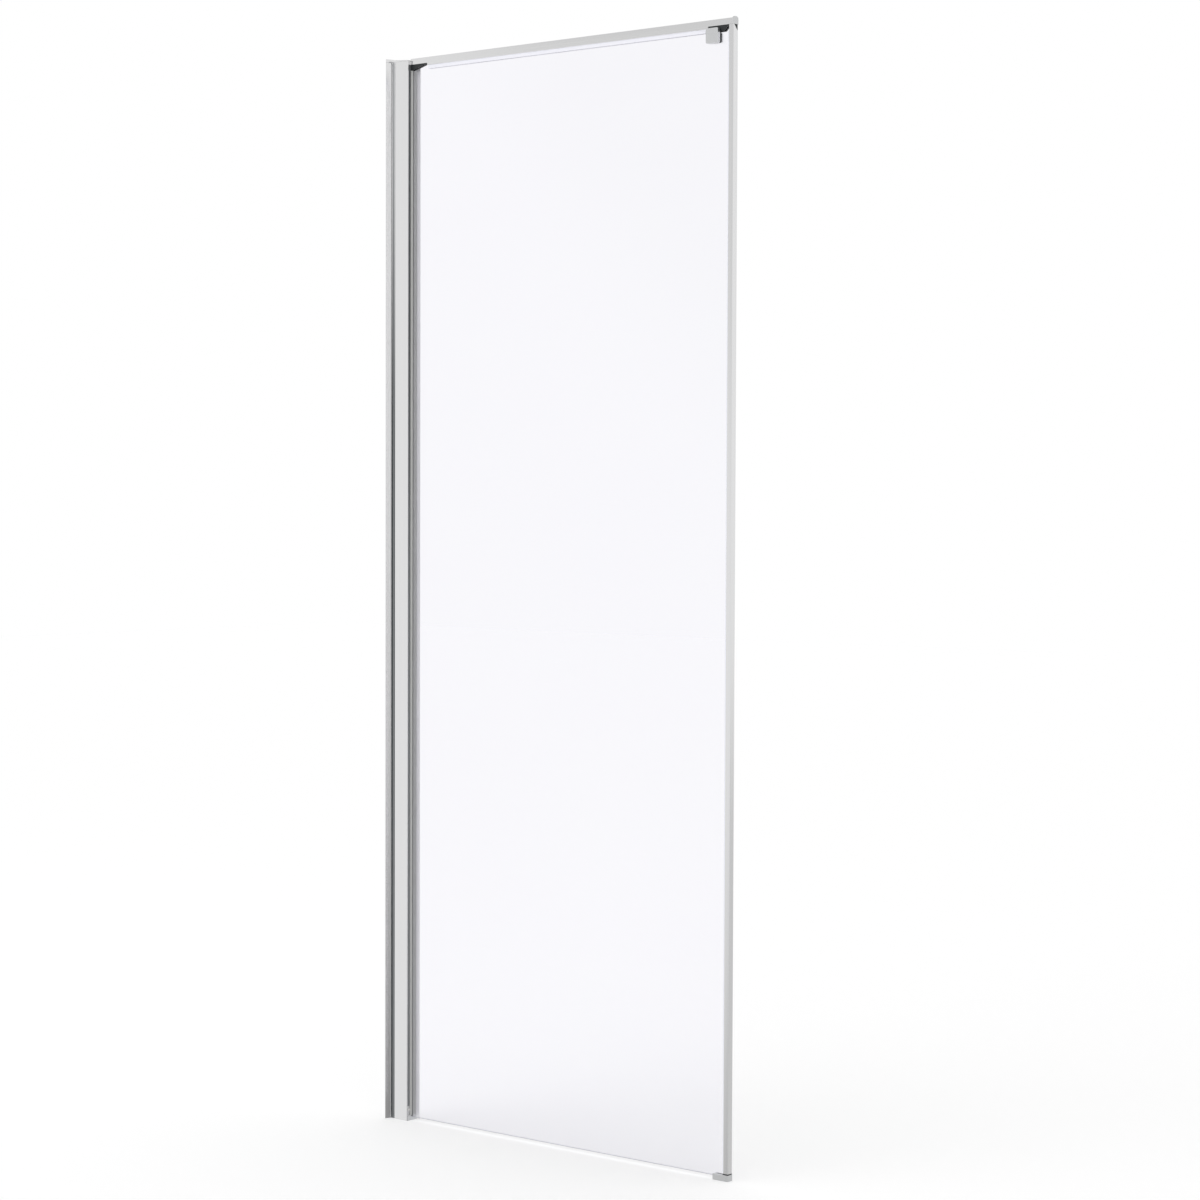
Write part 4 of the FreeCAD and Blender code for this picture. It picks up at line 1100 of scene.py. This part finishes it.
# %% Floor
FLOOR_SIZE, FLOOR_DROP = 30.0, 0.2  # metres across, and millimetres below the foot
FLOOR_GLOW = 0.44
bpy.ops.object.select_all(action="DESELECT")
bpy.ops.mesh.primitive_plane_add(size=FLOOR_SIZE, location=(0, 0, -FLOOR_DROP * MM))
floor = bpy.context.object
floor.name = "floor"
paper, tree, shader, place = start_finish("white_paper", Roughness=0.9, Emission_Strength=FLOOR_GLOW)
shader.inputs["Emission Color"].default_value = WHITE
shader.inputs["Base Color"].default_value = colour("#CFCFCF")
floor.data.materials.append(paper)
floor.visible_glossy = False
print("floor is", FLOOR_SIZE, "m across")

# %% [markdown]
# ## Lamp
# The world gives most of the light. One large soft box, up on the left of the camera, adds a little
# direction, so that edges have a light and a dark side. It is hidden from mirrors and from glass.

# %% Lamp
LAMP_SIZE, LAMP_POWER = 2.5, 15
LAMP_PLACE, LAMP_AIM = Vector((-1.0, -3.0, 3.5)), Vector((0.4, 0, 1.0))
lamp = bpy.data.objects.new("soft box", bpy.data.lights.new("soft box", "AREA"))
bpy.context.scene.collection.objects.link(lamp)
lamp.data.shape, lamp.data.size, lamp.data.energy = "SQUARE", LAMP_SIZE, LAMP_POWER
lamp.location = LAMP_PLACE
lamp.rotation_euler = (LAMP_AIM - LAMP_PLACE).to_track_quat("-Z", "Y").to_euler()
lamp.visible_glossy = lamp.visible_transmission = False
print(lamp.name, "of", LAMP_POWER, "W at", list(LAMP_PLACE))

# %% [markdown]
# ## Camera
# The camera stands where the photographer stood: in front of the free edge, at a little over half the
# height of the panel. Its place, turn and focal length were fitted to the corners of the panel. A
# Blender camera looks straight down until it is tilted up, so a quarter turn is added to its pitch.

# %% Camera
CAMERA_PLACE = (3.7243, -3.9086, 1.1831)
CAMERA_YAW, CAMERA_PITCH, CAMERA_ROLL = 39.4787, -2.0962, 0.2048  # degrees
FOCAL_PIXELS, FRAME_PIXELS, QUARTER_TURN = 2845.5, 1200, 90
camera = bpy.data.objects.new("camera", bpy.data.cameras.new("camera"))
bpy.context.scene.collection.objects.link(camera)
camera.data.lens = FOCAL_PIXELS / FRAME_PIXELS * camera.data.sensor_width
turn = Matrix.Rotation(math.radians(CAMERA_YAW), 4, "Z")
turn = turn @ Matrix.Rotation(math.radians(QUARTER_TURN + CAMERA_PITCH), 4, "X")
turn = turn @ Matrix.Rotation(math.radians(CAMERA_ROLL), 4, "Z")
camera.matrix_world = Matrix.Translation(CAMERA_PLACE) @ turn
bpy.context.scene.camera = camera
print("camera with a lens of", round(camera.data.lens, 1), "mm")

# %% [markdown]
# ## View of the colours
# Last, the Standard view shows each colour as it is written. A piece that grew past the CAD model
# would no longer fit its neighbours.

# %% View of the colours
bpy.context.scene.view_settings.view_transform = "Standard"
